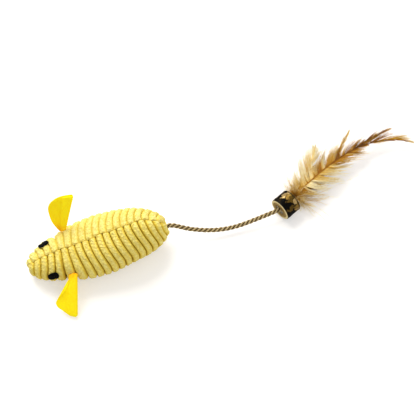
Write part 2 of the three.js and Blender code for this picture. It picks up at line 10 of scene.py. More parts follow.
import bmesh
import bpy
import numpy as np
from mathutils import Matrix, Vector


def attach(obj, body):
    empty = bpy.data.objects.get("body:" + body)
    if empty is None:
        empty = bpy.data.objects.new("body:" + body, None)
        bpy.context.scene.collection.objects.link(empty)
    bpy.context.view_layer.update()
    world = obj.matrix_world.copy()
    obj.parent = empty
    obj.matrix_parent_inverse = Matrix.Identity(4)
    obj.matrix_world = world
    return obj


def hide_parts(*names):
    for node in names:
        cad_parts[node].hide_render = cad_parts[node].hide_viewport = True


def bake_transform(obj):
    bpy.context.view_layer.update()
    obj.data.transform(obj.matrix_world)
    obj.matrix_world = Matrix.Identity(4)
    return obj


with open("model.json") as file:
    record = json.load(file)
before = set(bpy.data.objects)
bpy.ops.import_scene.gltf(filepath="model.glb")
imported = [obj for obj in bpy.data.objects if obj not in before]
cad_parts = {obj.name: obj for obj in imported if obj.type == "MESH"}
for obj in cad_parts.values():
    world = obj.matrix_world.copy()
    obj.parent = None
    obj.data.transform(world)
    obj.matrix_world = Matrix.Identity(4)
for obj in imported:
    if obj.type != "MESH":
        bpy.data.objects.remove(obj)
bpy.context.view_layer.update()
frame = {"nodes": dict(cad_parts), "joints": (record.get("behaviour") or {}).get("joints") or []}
joints = {joint["name"]: joint for joint in frame["joints"]}

# %% [markdown]
# Blender counts in metres and a toy is measured in millimetres, so one factor turns a written size into a
# length. The mouse has its own origin, on the floor under the middle of its body, and the bead has one at
# the middle of the face where the twine goes in. Both follow from the places of the joints.

# %% Units and origins
MM = 0.001
BODY_LENGTH = 100 * MM
TAIL_HEIGHT = 16 * MM
BEAD_HEADING = math.radians(25)

tail_exit = np.array(joints["tail_swing"]["pos_m"])
mouse_origin = tail_exit - [BODY_LENGTH / 2, 0, TAIL_HEIGHT]
bead_origin = np.array(joints["charm_swing"]["pos_m"])
bead_axes = np.array([
    [math.cos(BEAD_HEADING), math.sin(BEAD_HEADING), 0],
    [-math.sin(BEAD_HEADING), math.cos(BEAD_HEADING), 0],
    [0, 0, 1],
])
print("Mouse origin:", mouse_origin, "bead origin:", bead_origin)

# %% [markdown]
# The toy is seen from high above, a little from its left side. A camera is described best by what it looks
# at, from which way and from how far, because each of these can be changed alone. A long lens keeps the
# tail end of the toy from looking larger than its nose.

# %% The camera
LOOK_AT = np.array([-14.56, 12.89, 0]) * MM
CAMERA_DISTANCE = 570.5 * MM
CAMERA_AZIMUTH = math.radians(-16.14)
CAMERA_ELEVATION = math.radians(65)
CAMERA_LENS = 67.18


def towards(azimuth, elevation):
    """The unit vector from the toy to a place at that azimuth, counted from -Y, and elevation."""
    level = math.cos(elevation)
    return np.array([math.sin(azimuth) * level, -math.cos(azimuth) * level, math.sin(elevation)])


def aim(thing, place, target):
    """Puts a camera or a lamp at a place and turns its -Z axis to the target, with Y upwards."""
    thing.location = place
    thing.rotation_mode = "QUATERNION"
    thing.rotation_quaternion = Vector(target - place).to_track_quat("-Z", "Y")


camera = bpy.data.objects.new("camera", bpy.data.cameras.new("camera"))
camera.data.lens = CAMERA_LENS
camera.data.clip_start = 10 * MM
aim(camera, LOOK_AT + CAMERA_DISTANCE * towards(CAMERA_AZIMUTH, CAMERA_ELEVATION), LOOK_AT)
bpy.context.scene.collection.objects.link(camera)
bpy.context.scene.camera = camera
print("Camera at", tuple(round(value, 3) for value in camera.location))

# %% [markdown]
# A material is a small graph of nodes. One helper adds a node, sets its options and feeds its sockets, from
# plain values or from the output of another node, so that a finish can be read from top to bottom. Colours
# are written as they look on a screen, from 0 to 255, and turned into the linear values that light needs.

# %% Helpers for materials
def tint(red, green, blue):
    """A colour as seen on a screen, 0 to 255, in the linear numbers that the shader works in."""
    seen = np.array([red, green, blue]) / 255
    linear = np.where(seen <= 0.04045, seen / 12.92, ((seen + 0.055) / 1.055) ** 2.4)
    return (*linear.tolist(), 1)


def add_node(tree, kind, inputs=None, **options):
    """Adds a node to a tree, sets its options, and links or sets each input that is given."""
    node = tree.nodes.new(kind)
    for option, value in options.items():
        setattr(node, option, value)
    for socket, value in (inputs or {}).items():
        if isinstance(value, bpy.types.NodeSocket):
            tree.links.new(value, node.inputs[socket])
        else:
            node.inputs[socket].default_value = value
    return node


def noise(tree, where, scale, detail=2.0):
    """A cloudy value from 0 to 1, about 0.5, whose patches are 1 / scale metres wide."""
    return add_node(tree, "ShaderNodeTexNoise", {
        "Vector": where, "Scale": scale, "Detail": detail,
    }).outputs["Fac"]


def calculate(tree, operation, first, second):
    """The sum, product or greater one of two values, as the operation says."""
    return add_node(tree, "ShaderNodeMath", {0: first, 1: second}, operation=operation).outputs[0]


def remap(tree, value, low, high, new_low=0.0, new_high=1.0):
    """Stretches the range from low to high over the range from new_low to new_high, and no further."""
    return add_node(tree, "ShaderNodeMapRange", {
        "Value": value, "From Min": low, "From Max": high, "To Min": new_low, "To Max": new_high,
    }).outputs["Result"]


def mix_colour(tree, share, first, second):
    """Mixes two colours by a share from 0, all first, to 1, all second."""
    inputs = {0: share, 6: first, 7: second}
    return add_node(tree, "ShaderNodeMix", inputs, data_type="RGBA", clamp_factor=True).outputs[2]


def colour_steps(tree, value, steps):
    """A colour read off a scale: steps give a place from 0 to 1 and the colour there, as on a screen."""
    node = add_node(tree, "ShaderNodeValToRGB", {"Fac": value})
    scale = node.color_ramp.elements
    while len(scale) < len(steps):
        scale.new(1.0)
    for element, (place, colour) in zip(scale, steps):
        element.position = place
        element.color = tint(*colour)
    return node.outputs["Color"]


def attribute(tree, name):
    """The value that a piece's mesh keeps under that name for each point."""
    return add_node(tree, "ShaderNodeAttribute", attribute_name=name).outputs["Fac"]


def object_place(tree):
    """Where a point lies on the object, in metres. Pieces sit at the origin, so patterns stay put."""
    return add_node(tree, "ShaderNodeTexCoord").outputs["Object"]


def bump(tree, height, distance, strength=1.0):
    """Tilts the shading as a relief of that height, in metres, would tilt the surface."""
    return add_node(tree, "ShaderNodeBump", {
        "Height": height, "Distance": distance, "Strength": strength,
    }).outputs["Normal"]


def new_material(name, **constants):
    """A material with one Principled shader. A number that is the same all over is set on its socket."""
    material = bpy.data.materials.new(name)
    material.use_nodes = True
    shader = material.node_tree.nodes["Principled BSDF"]
    for socket, value in constants.items():
        shader.inputs[socket.replace("_", " ")].default_value = value
    return material, material.node_tree, shader


def feed(tree, shader, **sources):
    """Links outputs of nodes to the shader's sockets of those names."""
    for socket, source in sources.items():
        tree.links.new(source, shader.inputs[socket.replace("_", " ")])


print("Helpers ready; a written mid grey of 128 is", round(tint(128, 128, 128)[0], 3), "in light")

# %% [markdown]
# The toy lies on a white sheet. The sheet is a wide floor whose material adds a little glow for the camera
# and for reflections, which lifts it to white and still lets the toy's shadow show. The world behind it is
# white for the camera and a soft, weaker white for everything that it lights.

# %% Floor and world
FLOOR_SIZE = 6.0
FLOOR_GAP = 0.05 * MM
FLOOR_GLOW = 0.35
SKY_LEVEL = 0.62
WHITE = (1, 1, 1, 1)


def seen_directly(tree):
    """1 for what the camera, a mirror or glass sees at once, 0 for the rays that only light things."""
    path = add_node(tree, "ShaderNodeLightPath").outputs
    seen = calculate(tree, "MAXIMUM", path["Is Camera Ray"], path["Is Glossy Ray"])
    return calculate(tree, "MAXIMUM", seen, path["Is Transmission Ray"])


floor_mesh = bpy.data.meshes.new("floor")
corners = np.array([[-1, -1, 0], [1, -1, 0], [1, 1, 0], [-1, 1, 0]]) * FLOOR_SIZE / 2
floor_mesh.from_pydata((corners - [0, 0, FLOOR_GAP]).tolist(), [], [(0, 1, 2, 3)])
floor = bpy.data.objects.new("floor", floor_mesh)
bpy.context.scene.collection.objects.link(floor)

material, tree, shader = new_material("white_sheet", Base_Color=tint(226, 223, 219), Roughness=0.9)
shader.inputs["Emission Color"].default_value = WHITE
feed(tree, shader, Emission_Strength=calculate(tree, "MULTIPLY", seen_directly(tree), FLOOR_GLOW))
floor_mesh.materials.append(material)

world = bpy.data.worlds.new("studio")
world.use_nodes = True
bpy.context.scene.world = world
sky = world.node_tree.nodes["Background"]
sky.inputs["Color"].default_value = WHITE
level = remap(world.node_tree, seen_directly(world.node_tree), 0, 1, SKY_LEVEL, 1)
world.node_tree.links.new(level, sky.inputs["Strength"])
bpy.context.scene.view_settings.view_transform = "Standard"
print("Floor and world made")

# %% [markdown]
# One large soft lamp stands at the upper left of the picture and gives the toy its light side and its
# shadow. A weaker one from the other side keeps the shadow side open. Their power is chosen so that a
# surface facing up shows about the colour that is written for it.

# %% Lamps
KEY = {"azimuth": -172, "elevation": 48, "distance": 0.95, "size": 0.58, "power": 9.4}
FILL = {"azimuth": 30, "elevation": 42, "distance": 1.2, "size": 0.9, "power": 2.7}


def add_lamp(name, azimuth, elevation, distance, size, power):
    """A square lamp that faces the toy from that way, so far off."""
    lamp = bpy.data.objects.new(name, bpy.data.lights.new(name, "AREA"))
    lamp.data.shape = "SQUARE"
    lamp.data.size = size
    lamp.data.energy = power
    place = LOOK_AT + distance * towards(math.radians(azimuth), math.radians(elevation))
    aim(lamp, place, LOOK_AT)
    bpy.context.scene.collection.objects.link(lamp)


add_lamp("key_lamp", **KEY)
add_lamp("fill_lamp", **FILL)
print("Lamps at", KEY["azimuth"], "and", FILL["azimuth"], "degrees")

# %% [markdown]
# Every new piece is a surface worked out with numpy: an array of points for the rings of a shape, and faces
# between neighbouring rings. These helpers turn such arrays into meshes. Each end of a shape is closed by a
# point or by one flat face, and the closed volume, counted with its sign, says whether the faces look out.

# %% Helpers for shapes
MERGE_DISTANCE = 1e-7


def ring_faces(rows, columns):
    """Quads between neighbouring rings of points, each ring closed on itself."""
    row = np.arange(rows - 1)[:, None] * columns
    column = np.arange(columns)[None, :]
    following = (column + 1) % columns
    corners = [row + column, row + following, row + columns + following, row + columns + column]
    return np.stack(corners, axis=-1).reshape(-1, 4)


def closed_rings(rings, start=None, end=None):
    """Points and faces of a closed body from its rings. An end with a point is closed by triangles that
    meet in it, and an end without one by a single flat face. Where both halves of the last ring lie on
    each other, the word zip leaves it without a face, and merging its points closes it."""
    rows, columns = rings.shape[:2]
    points = [rings.reshape(-1, 3)]
    faces = ring_faces(rows, columns).tolist()
    count = rows * columns
    for tip, base, forward in ((start, 0, False), (end, (rows - 1) * columns, True)):
        ring = np.arange(columns) + base
        if isinstance(tip, str):
            continue
        if tip is None:
            faces.append((ring if forward else ring[::-1]).tolist())
            continue
        following = np.roll(ring, -1)
        pair = [ring, following] if forward else [following, ring]
        faces += np.stack([*pair, np.full(columns, count)], axis=-1).tolist()
        points.append(np.asarray(tip, float).reshape(1, 3))
        count += 1
    return np.concatenate(points), faces


def capped_rings(rings):
    """Points and faces of a body whose two ends close in the middle of their rings."""
    return closed_rings(rings, rings[0].mean(0), rings[-1].mean(0))


def round_axis(along, radius, angle):
    """Points at a distance along the X axis and at a distance from it, carried round it by an angle."""
    return np.stack([along + 0 * angle, radius * np.sin(angle), radius * np.cos(angle)], axis=-1)


def full_turn(steps):
    """Angles all the way round, in even steps."""
    return np.linspace(0, 2 * math.pi, steps, endpoint=False)


def look_outwards(mesh):
    """Turns all faces round if the volume that they close in, summed over triangles, is negative."""
    mesh.calc_loop_triangles()
    triangles = np.empty(len(mesh.loop_triangles) * 3, np.int32)
    mesh.loop_triangles.foreach_get("vertices", triangles)
    places = np.empty(len(mesh.vertices) * 3)
    mesh.vertices.foreach_get("co", places)
    a, b, c = places.reshape(-1, 3)[triangles.reshape(-1, 3)].transpose(1, 0, 2)
    volume = np.einsum("ij,ij->i", a, np.cross(b, c)).sum() / 6
    if volume < 0:
        mesh.flip_normals()
    return abs(volume)


def merge_doubles(mesh, distance):
    """Makes one of the points that lie that close together, and drops the faces that this flattens."""
    shape = bmesh.new()
    shape.from_mesh(mesh)
    bmesh.ops.remove_doubles(shape, verts=shape.verts, dist=distance)
    shape.to_mesh(mesh)
    shape.free()


def add_piece(name, points, faces, material, slot, body=None, stands_for=(), values=None, merge=0):
    """Makes a smooth mesh object from points and faces, with named values kept for each point, gives it its
    material, and lets it ride on a body of the model in place of the model's nodes. The slot is not used."""
    mesh = bpy.data.meshes.new(name)
    mesh.from_pydata(np.asarray(points).tolist(), [], faces)
    for label, value in (values or {}).items():
        kept = mesh.attributes.new(label, "FLOAT", "POINT")
        kept.data.foreach_set("value", np.asarray(value, np.float32).ravel())
    if merge:
        merge_doubles(mesh, merge)
    volume = look_outwards(mesh)
    mesh.shade_smooth()
    mesh.materials.append(material)
    piece = bpy.data.objects.new(name, mesh)
    bpy.context.scene.collection.objects.link(piece)
    if body:
        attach(piece, body)
    if stands_for:
        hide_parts(*stands_for)
    print(name, len(mesh.vertices), "points,", round(volume * 1e9, 1), "cubic mm")
    return piece


def unit(vectors):
    """Each vector, made one unit long."""
    return vectors / np.maximum(np.linalg.norm(vectors, axis=-1, keepdims=True), 1e-12)


def smoothstep(value, low, high):
    """0 up to low, 1 from high on, and a smooth S between them."""
    share = np.clip((value - low) / (high - low), 0, 1)
    return share * share * (3 - 2 * share)


def gone_along(line):
    """How far each point of a line lies from its start, measured along it."""
    return np.concatenate([[0], np.cumsum(np.linalg.norm(np.diff(line, axis=0), axis=1))])


def line_length(line):
    """The length of a line of points."""
    return np.linalg.norm(np.diff(line, axis=0), axis=1).sum()


def smooth_line(points, count):
    """Evenly spaced points on a smooth line through chosen ones. Between two of them it is a cubic in the
    straight distance gone, and its slope at each comes from that point's neighbours."""
    points = np.asarray(points, float)
    gone = gone_along(points)
    slopes = np.gradient(points, gone, axis=0)
    fine = np.linspace(0, gone[-1], 40 * len(points))
    before = np.clip(np.searchsorted(gone, fine, side="right") - 1, 0, len(gone) - 2)
    width = (gone[before + 1] - gone[before])[:, None]
    t = (fine - gone[before])[:, None] / width
    line = (2 * t**3 - 3 * t**2 + 1) * points[before] + (3 * t**2 - 2 * t**3) * points[before + 1]
    line += width * ((t**3 - 2 * t**2 + t) * slopes[before] + (t**3 - t**2) * slopes[before + 1])
    length = gone_along(line)
    even = np.linspace(0, length[-1], count)
    return np.stack([np.interp(even, length, line[:, axis]) for axis in range(3)], axis=-1)


def line_frame(line):
    """For each point of a level line: the way along it, the way to its left and the way up from it."""
    along = unit(np.gradient(line, axis=0))
    left = unit(np.cross([0, 0, 1], along))
    return along, left, np.cross(along, left)


def strands(lines, radii, sides=3):
    """Many thin closed tubes at once. lines holds the points of each strand, radii its thickness at them.
    The first ring is closed by a flat face and the last one shrinks to the strand's tip."""
    count, steps = lines.shape[:2]
    along = unit(np.gradient(lines, axis=1))
    chord = unit(lines[:, -1] - lines[:, 0])
    least = np.eye(3)[np.argmin(np.abs(chord), axis=-1)]
    across = unit(np.cross(along, least[:, None, :]))
    over = np.cross(along, across)
    angles = np.arange(sides)[:, None] * 2 * math.pi / sides
    spin = np.cos(angles) * across[:, :-1, None] + np.sin(angles) * over[:, :-1, None]
    rings = lines[:, :-1, None] + radii[:, :-1, None, None] * spin
    each = (steps - 1) * sides + 1
    points = np.concatenate([rings.reshape(count, -1, 3), lines[:, -1:, :]], axis=1)
    offsets = (np.arange(count) * each)[:, None, None]
    quads = (ring_faces(steps - 1, sides)[None] + offsets).reshape(-1, 4)
    last = (steps - 2) * sides + np.arange(sides)
    tips = np.stack([last, (np.arange(sides) + 1) % sides + last[0], np.full(sides, each - 1)], axis=-1)
    tips = (tips[None] + offsets).reshape(-1, 3)
    butts = (np.arange(sides)[::-1][None] + offsets[:, 0]).reshape(-1, sides)
    return points.reshape(-1, 3), quads.tolist() + tips.tolist() + butts.tolist()


def join(*parts):
    """Puts several sets of points and faces into one."""
    points = np.concatenate([part[0] for part in parts])
    faces = []
    first = 0
    for own_points, own_faces in parts:
        faces += [[corner + first for corner in face] for face in own_faces]
        first += len(own_points)
    return points, faces


print("Shape helpers ready")

# %% [markdown]
# The tail is three-ply hemp twine, about 3.4 mm thick. On the real toy it is knotted inside the body and
# glued into the bead, so its free length lies between those two places. Its middle line follows the same
# points as the model's tube. Each ply is a thin tube that winds round that line like the thread of a
# right hand screw, with finer fibres that twist the other way, and a few loose hairs stand off it.

# %% The twine
TWINE_LAY = 10.4 * MM
PLY_PLACE = 0.9 * MM
PLY_RADIUS = 0.8 * MM
TWINE_PLIES = 3
FIBRE_RIDGES = 7
FIBRE_TWIST = 3.4
PLY_SIDES = 30
TWINE_STEPS = 420
HAIRS = 130
HAIR_RADIUS = 0.035 * MM
TWINE_ROUTE = np.array([
    [0.049, 0, 0.016], [0.052, 0, 0.0157], [0.0555, -0.0007, 0.0147], [0.059, -0.0019, 0.0131],
    [0.063, -0.0034, 0.0114], [0.068, -0.0049, 0.0096], [0.074, -0.0064, 0.0078],
    [0.081, -0.0078, 0.0062], [0.088, -0.0088, 0.0053], [0.096, -0.0093, 0.005],
    [0.104, -0.0092, 0.0055], [0.112, -0.0087, 0.0065], [0.119, -0.0082, 0.0074],
    [0.126, -0.0075, 0.0082], [0.13266, -0.0069, 0.00875],
]) + mouse_origin


def ply(line, turn_share):
    """One ply: its middle winds at PLY_PLACE round the line, once in TWINE_LAY, and its own skin has ridges
    that wind back the other way. Values: how far out each point lies, for the shade painted into the
    grooves."""
    along, left, up = line_frame(line)
    length = np.linspace(0, 1, len(line)) * line_length(line)
    wound = 2 * math.pi * (turn_share - length / TWINE_LAY)
    out = np.cos(wound)[:, None] * left + np.sin(wound)[:, None] * up
    side = np.cross(along, out)
    angle = full_turn(PLY_SIDES)
    twist = angle[None] * FIBRE_RIDGES + (length / TWINE_LAY * 2 * math.pi * FIBRE_TWIST)[:, None]
    wander = np.sin(length[:, None] / (1.9 * MM) + 3 * angle[None] + 9 * turn_share)
    skin = PLY_RADIUS * (1 + 0.07 * np.cos(twist) + 0.035 * wander)
    ends = np.minimum(np.arange(len(line)), np.arange(len(line))[::-1])
    skin *= np.sqrt(np.clip((ends + 1) / 4, 0, 1))[:, None]
    spin = np.cos(angle)[None, :, None] * out[:, None] + np.sin(angle)[None, :, None] * side[:, None]
    rings = (line + PLY_PLACE * out)[:, None] + skin[..., None] * spin
    crown = np.linalg.norm(rings - line[:, None], axis=-1) / (PLY_PLACE + PLY_RADIUS)
    return rings, crown


def loose_hairs(line, count, seed):
    """Short thin hairs that leave the twine's skin at a slant and curl a little."""
    random = np.random.default_rng(seed)
    along, left, up = line_frame(line)
    root = random.integers(8, len(line) - 8, count)
    around = random.uniform(0, 2 * math.pi, count)[:, None]
    out = np.cos(around) * left[root] + np.sin(around) * up[root]
    reach = random.uniform(0.9, 2.6, count)[:, None] * MM
    slant = random.choice([-1, 1], count)[:, None] * random.uniform(0.5, 1.6, count)[:, None]
    share = np.linspace(0, 1, 6)[None, :, None]
    bend = random.normal(0, 0.35, (count, 1, 1)) * reach[:, None] * share**2
    base = line[root] + out * (PLY_PLACE + 0.5 * PLY_RADIUS)
    lines = base[:, None] + share * reach[:, None] * (0.42 * out + slant * along[root])[:, None]
    lines = lines + bend * np.cross(along[root], out)[:, None]
    lines[..., 2] = np.maximum(lines[..., 2], 0.3 * MM)
    return strands(lines, np.full(lines.shape[:2], HAIR_RADIUS))


twine_line = smooth_line(TWINE_ROUTE, TWINE_STEPS)
plies = [ply(twine_line, index / TWINE_PLIES) for index in range(TWINE_PLIES)]
twine_parts = [capped_rings(rings) for rings, crown in plies]
twine_crowns = [np.concatenate([crown.ravel(), [0.5, 0.5]]) for rings, crown in plies]
hair_part = loose_hairs(twine_line, HAIRS, seed=5)
twine_crowns.append(np.full(len(hair_part[0]), 1.0))

# %% [markdown]
# Hemp is a dull straw colour with darker fibres. The finish reads how far out each point lies, which the
# mesh keeps as a value, and darkens the grooves of the lay with painted shade. The cloudy patches that tint
# it are a node group, because felt, cloth, bark and feathers all need them too.

# %% A shared effect for cloudy tints, and the hemp
def build_cloudy_tint():
    """A group that darkens and warms a colour by two layers of noise, one coarse and one fine."""
    group = bpy.data.node_groups.new("cloudy_tint", "ShaderNodeTree")
    for name, kind, default in (
        ("Vector", "NodeSocketVector", None), ("Color", "NodeSocketColor", (1, 1, 1, 1)),
        ("Shade", "NodeSocketColor", (0.5, 0.5, 0.5, 1)), ("Coarse", "NodeSocketFloat", 200.0),
        ("Fine", "NodeSocketFloat", 2000.0), ("Amount", "NodeSocketFloat", 0.5),
    ):
        socket = group.interface.new_socket(name, in_out="INPUT", socket_type=kind)
        if default is not None:
            socket.default_value = default
    group.interface.new_socket("Color", in_out="OUTPUT", socket_type="NodeSocketColor")
    group.interface.new_socket("Height", in_out="OUTPUT", socket_type="NodeSocketFloat")
    given = add_node(group, "NodeGroupInput").outputs
    coarse = noise(group, given["Vector"], given["Coarse"], detail=3)
    fine = noise(group, given["Vector"], given["Fine"], detail=2)
    share = remap(group, calculate(group, "ADD", coarse, fine), 0.75, 1.25)
    weak = calculate(group, "MULTIPLY", share, given["Amount"])
    result = mix_colour(group, weak, given["Color"], given["Shade"])
    add_node(group, "NodeGroupOutput", {"Color": result, "Height": share})
    return group


cloudy_tint = build_cloudy_tint()


def add_group(tree, group, **inputs):
    """Places a shared effect in a material, with its own values for the group's inputs."""
    return add_node(tree, "ShaderNodeGroup", inputs, node_tree=group).outputs


def clouded_finish(name, colour, clouds, kept=None, relief=0, strength=0, **constants):
    """A finish of one colour, or of colour steps read off a value that the mesh keeps. Clouds lie on it
    one over the other, each with its shade, coarse and fine scale and amount. The last one gives the
    relief, in metres."""
    material, tree, shader = new_material(name, **constants)
    place = object_place(tree)
    colour = colour_steps(tree, attribute(tree, kept), colour) if kept else tint(*colour)
    for shade, coarse, fine, amount in clouds:
        layer = add_group(tree, cloudy_tint, Vector=place, Color=colour, Shade=tint(*shade),
                          Coarse=coarse, Fine=fine, Amount=amount)
        colour = layer["Color"]
    feed(tree, shader, Base_Color=colour)
    if relief:
        feed(tree, shader, Normal=bump(tree, layer["Height"], relief, strength))
    return material


# The dark low steps of the crown scale are painted shade in the grooves of the lay.
hemp = clouded_finish(
    "hemp", [(0.45, (36, 26, 8)), (0.7, (82, 62, 28)), (0.86, (156, 130, 80)), (1.0, (206, 184, 132))],
    [((96, 74, 40), 520, 3600, 0.55)], kept="crown", relief=0.12 * MM, strength=0.7, Roughness=0.85)
twine = add_piece("twine", *join(*twine_parts, hair_part), hemp, "hemp", stands_for=["tail_twine"],
                  values={"crown": np.concatenate(twine_crowns)})
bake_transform(twine)

# %% [markdown]
# The body is a long teardrop: two panels of wide corduroy, sewn together along the back and the belly and
# turned inside out. Its form is one function of two numbers. A station runs round a half circle from the
# nose, 0, to the tail, 1, and a turn runs round the section, 0 on the back and half a turn on the belly.
# Tables of shares say how wide, how high and how deep the teardrop is at even steps of the station, so the
# form follows the body's three sizes. The same tables shape the model's panels.

# %% The body's form
BODY_WIDTH = 42.4 * MM
BODY_HEIGHT = 35.7 * MM
BELLY_REST = 0.5 * MM
BELLY_FLATNESS = 0.85
WALE_HEIGHT = 1.4 * MM
WALE_COUNT = 20
WALE_LEAN = 6 * MM
FULLNESS_SHARES = [0.86, 0.94, 0.95, 0.93, 0.99, 1.03, 1, 0.99, 1.03, 1.12, 1.15]
BACK_SHARES = [0.22, 0.36, 0.49, 0.585, 0.715, 0.8, 0.925, 1, 0.87, 0.61, TAIL_HEIGHT / BODY_HEIGHT]
BELLY_SHARES = [0.195, 0.04, 0.02, 0, 0, 0, 0, 0.005, 0.125, 0.32,
                (TAIL_HEIGHT - BELLY_REST) / BODY_HEIGHT]
LEAN_SHARES = [-2, -1.8, -1.35, -0.75, 0.65, 0.9, 1.1, 1.5, 2.1, 2.6, 2.8]


def follow(shares, place):
    """A cubic through evenly spaced values, read at places from 0 to 1. Its slope at each value is that of
    the line between the neighbours, half of it at the two ends."""
    shares = np.asarray(shares, float)
    padded = np.concatenate([shares[:1], shares, shares[-1:]])
    reach = np.clip(place, 0, 1) * (len(shares) - 1)
    index = np.minimum(reach.astype(int), len(shares) - 2)
    t = reach - index
    before, start, end, after = (padded[index + offset] for offset in range(4))
    slope_in = (end - before) / 2
    slope_out = (after - start) / 2
    cubic = 2 * start - 2 * end + slope_in + slope_out
    square = 3 * end - 3 * start - 2 * slope_in - slope_out
    return ((cubic * t + square) * t + slope_in) * t + start


def station_at(x):
    """The station whose section lies at that x: the half circle's angle, as a share of half a turn."""
    return np.arccos(np.clip(-2 * x / BODY_LENGTH, -1, 1)) / math.pi


def teardrop(station, turn):
    """The smooth body without wales: a half circle in length, a sine across, and between the back line and
    the belly line a cosine, whose lower half is flattened by a power."""
    half_width = (BODY_WIDTH / 2 - WALE_HEIGHT) * np.sin(math.pi * station)
    half_width = half_width * follow(FULLNESS_SHARES, station)
    back = BODY_HEIGHT * follow(BACK_SHARES, station)
    belly = BELLY_REST + BODY_HEIGHT * follow(BELLY_SHARES, station)
    rise = np.cos(turn)
    rise = np.where(rise < 0, -(np.abs(rise) ** BELLY_FLATNESS), rise)
    x = -BODY_LENGTH / 2 * np.cos(math.pi * station) + 0 * turn
    return np.stack([x, half_width * np.sin(turn), (back + belly) / 2 + (back - belly) / 2 * rise], axis=-1)


def outward(station, turn):
    """The way straight out of the smooth body, from two small steps along it and round it."""
    step = 1e-4
    ahead = teardrop(np.minimum(station + step, 1), turn) - teardrop(np.maximum(station - step, 0), turn)
    return unit(np.cross(ahead, teardrop(station, turn + step) - teardrop(station, turn - step)))


def on_wale(wale, turn):
    """The station of a point that goes down the side along a wale, which starts at the seam on the back at
    that share of the length and leans forwards or backwards on its way."""
    station = station_at(BODY_LENGTH * (wale - 0.5))
    lean = WALE_LEAN * follow(LEAN_SHARES, station) * np.sin(math.pi * station) ** 2 * np.sin(turn) ** 2
    return station_at(BODY_LENGTH * (wale - 0.5) + lean)


print("Body", BODY_LENGTH / MM, "by", BODY_WIDTH / MM, "by", BODY_HEIGHT / MM, "mm")

# %% [markdown]
# Corduroy is a pile cloth: tufts stand in rows, the wales, and bare ground shows between them as a narrow
# groove. Wide wales like these are bolsters, round on top and pinched in the grooves, so their height is a
# flattened arch of the way across a wale. Near the seam the pile is caught in the stitches and the bolster
# closes in a round end. A dart pulls the cloth in at each ear, the stuffing pushes it out in soft lumps,
# and the pile itself is a little pebbly. All of it is added along the way out of the smooth body.

# %% Two corduroy panels
STEPS_PER_WALE = 20
SIDE_STEPS = 160
INNER_STEPS = 20
CLOTH_THICKNESS = 1.7 * MM
GROOVE_DEPTH = 1.05 * MM
SEAM_HALF_GAP = 0.03 * MM
SEAM_END = 1.1 * MM
SEAM_VALLEY = 0.12 * MM
SEAM_WANDER = 0.45 * MM
STITCH_DEPTH = 0.35 * MM
DART_PLACE = -26.2 * MM
DART_WIDTH = 0.75 * MM
LAST_WALE_SHARE = 0.984
MOUTH_RADIUS = 1.85 * MM
MOUTH_STEPS = 14
MOUTH_DEPTHS = np.array([0.35, 1.0, 2.2])[:, None] * MM
LUMP_SIZE = 17 * MM
LUMP_HEIGHT = 0.22 * MM
PEBBLES = ((1.9 * MM, 0.14 * MM, 31), (1.1 * MM, 0.15 * MM, 35))
TAIL_CENTRE = np.array([0, TAIL_HEIGHT])


def ripples(places, scale, count, seed):
    """Soft random swellings about 0, each about scale wide: a sum of sine waves in random directions."""
    random = np.random.default_rng(seed)
    waves = unit(random.normal(size=(count, 3))) * random.uniform(0.6, 1.4, (count, 1)) * 2 * math.pi / scale
    phases = random.uniform(0, 2 * math.pi, count)
    total = np.zeros(places.shape[:-1])
    for wave, phase in zip(waves, phases):
        total += np.sin(places @ wave + phase)
    return total / math.sqrt(count / 2)


def wale_shares(phase):
    """Places along the seam, closer together at the grooves than on top of the wales."""
    step = np.arange(STEPS_PER_WALE) / STEPS_PER_WALE
    within = 0.45 * step + 0.55 * (1 - np.cos(math.pi * step)) / 2
    shares = ((np.arange(WALE_COUNT + 1)[:, None] + within[None]) / WALE_COUNT).ravel() - phase
    return shares[(shares > 0.001) & (shares < LAST_WALE_SHARE)]


def corduroy_surface(side, wale, turn, phase, dart_depth):
    """Points of the outer face on one side, and a value for the colour: the swell, 0 in a groove and 1 on
    top of a wale, lowered at the seam and in the dart as painted shade.
    """
    station = on_wale(wale, turn)
    smooth = teardrop(station, side * turn)
    out = outward(station, side * turn)
    from_seam = np.abs(smooth[..., 1])
    across = np.abs(2 * ((wale + phase) * WALE_COUNT % 1) - 1)
    swell = (1 - across**2.3) ** 0.52
    closing = np.clip(from_seam / SEAM_END, 0, 1)
    round_end = np.sqrt(1 - (1 - closing) ** 2)
    shallower = 1 - 0.6 * smoothstep(wale, 0.8, 0.96)
    height = (WALE_HEIGHT * swell - GROOVE_DEPTH * shallower * across**7) * round_end
    height -= SEAM_VALLEY * np.exp(-((from_seam / (0.6 * MM)) ** 2))
    height -= STITCH_DEPTH * np.exp(-((from_seam / (1.6 * MM)) ** 2)) * across**2
    dart = np.exp(-(((smooth[..., 0] - DART_PLACE) / DART_WIDTH) ** 2))
    dart *= smoothstep(turn, 0.1, 0.35) * (1 - smoothstep(turn, 1.5, 2.0))
    height -= dart_depth * dart
    lumps = ripples(smooth, LUMP_SIZE, 14, seed=11 + side) * LUMP_HEIGHT
    pebbles = sum(ripples(smooth, size, 30, seed + side) * rise for size, rise, seed in PEBBLES)
    hold = smoothstep(from_seam, 0, 4 * MM)
    points = smooth + out * (height + lumps * hold + pebbles * swell * round_end)[..., None]
    # The colour value is lowered near the seam and in the dart: painted shade.
    return points, swell * (0.6 + 0.4 * round_end) * (1 - 0.4 * dart)


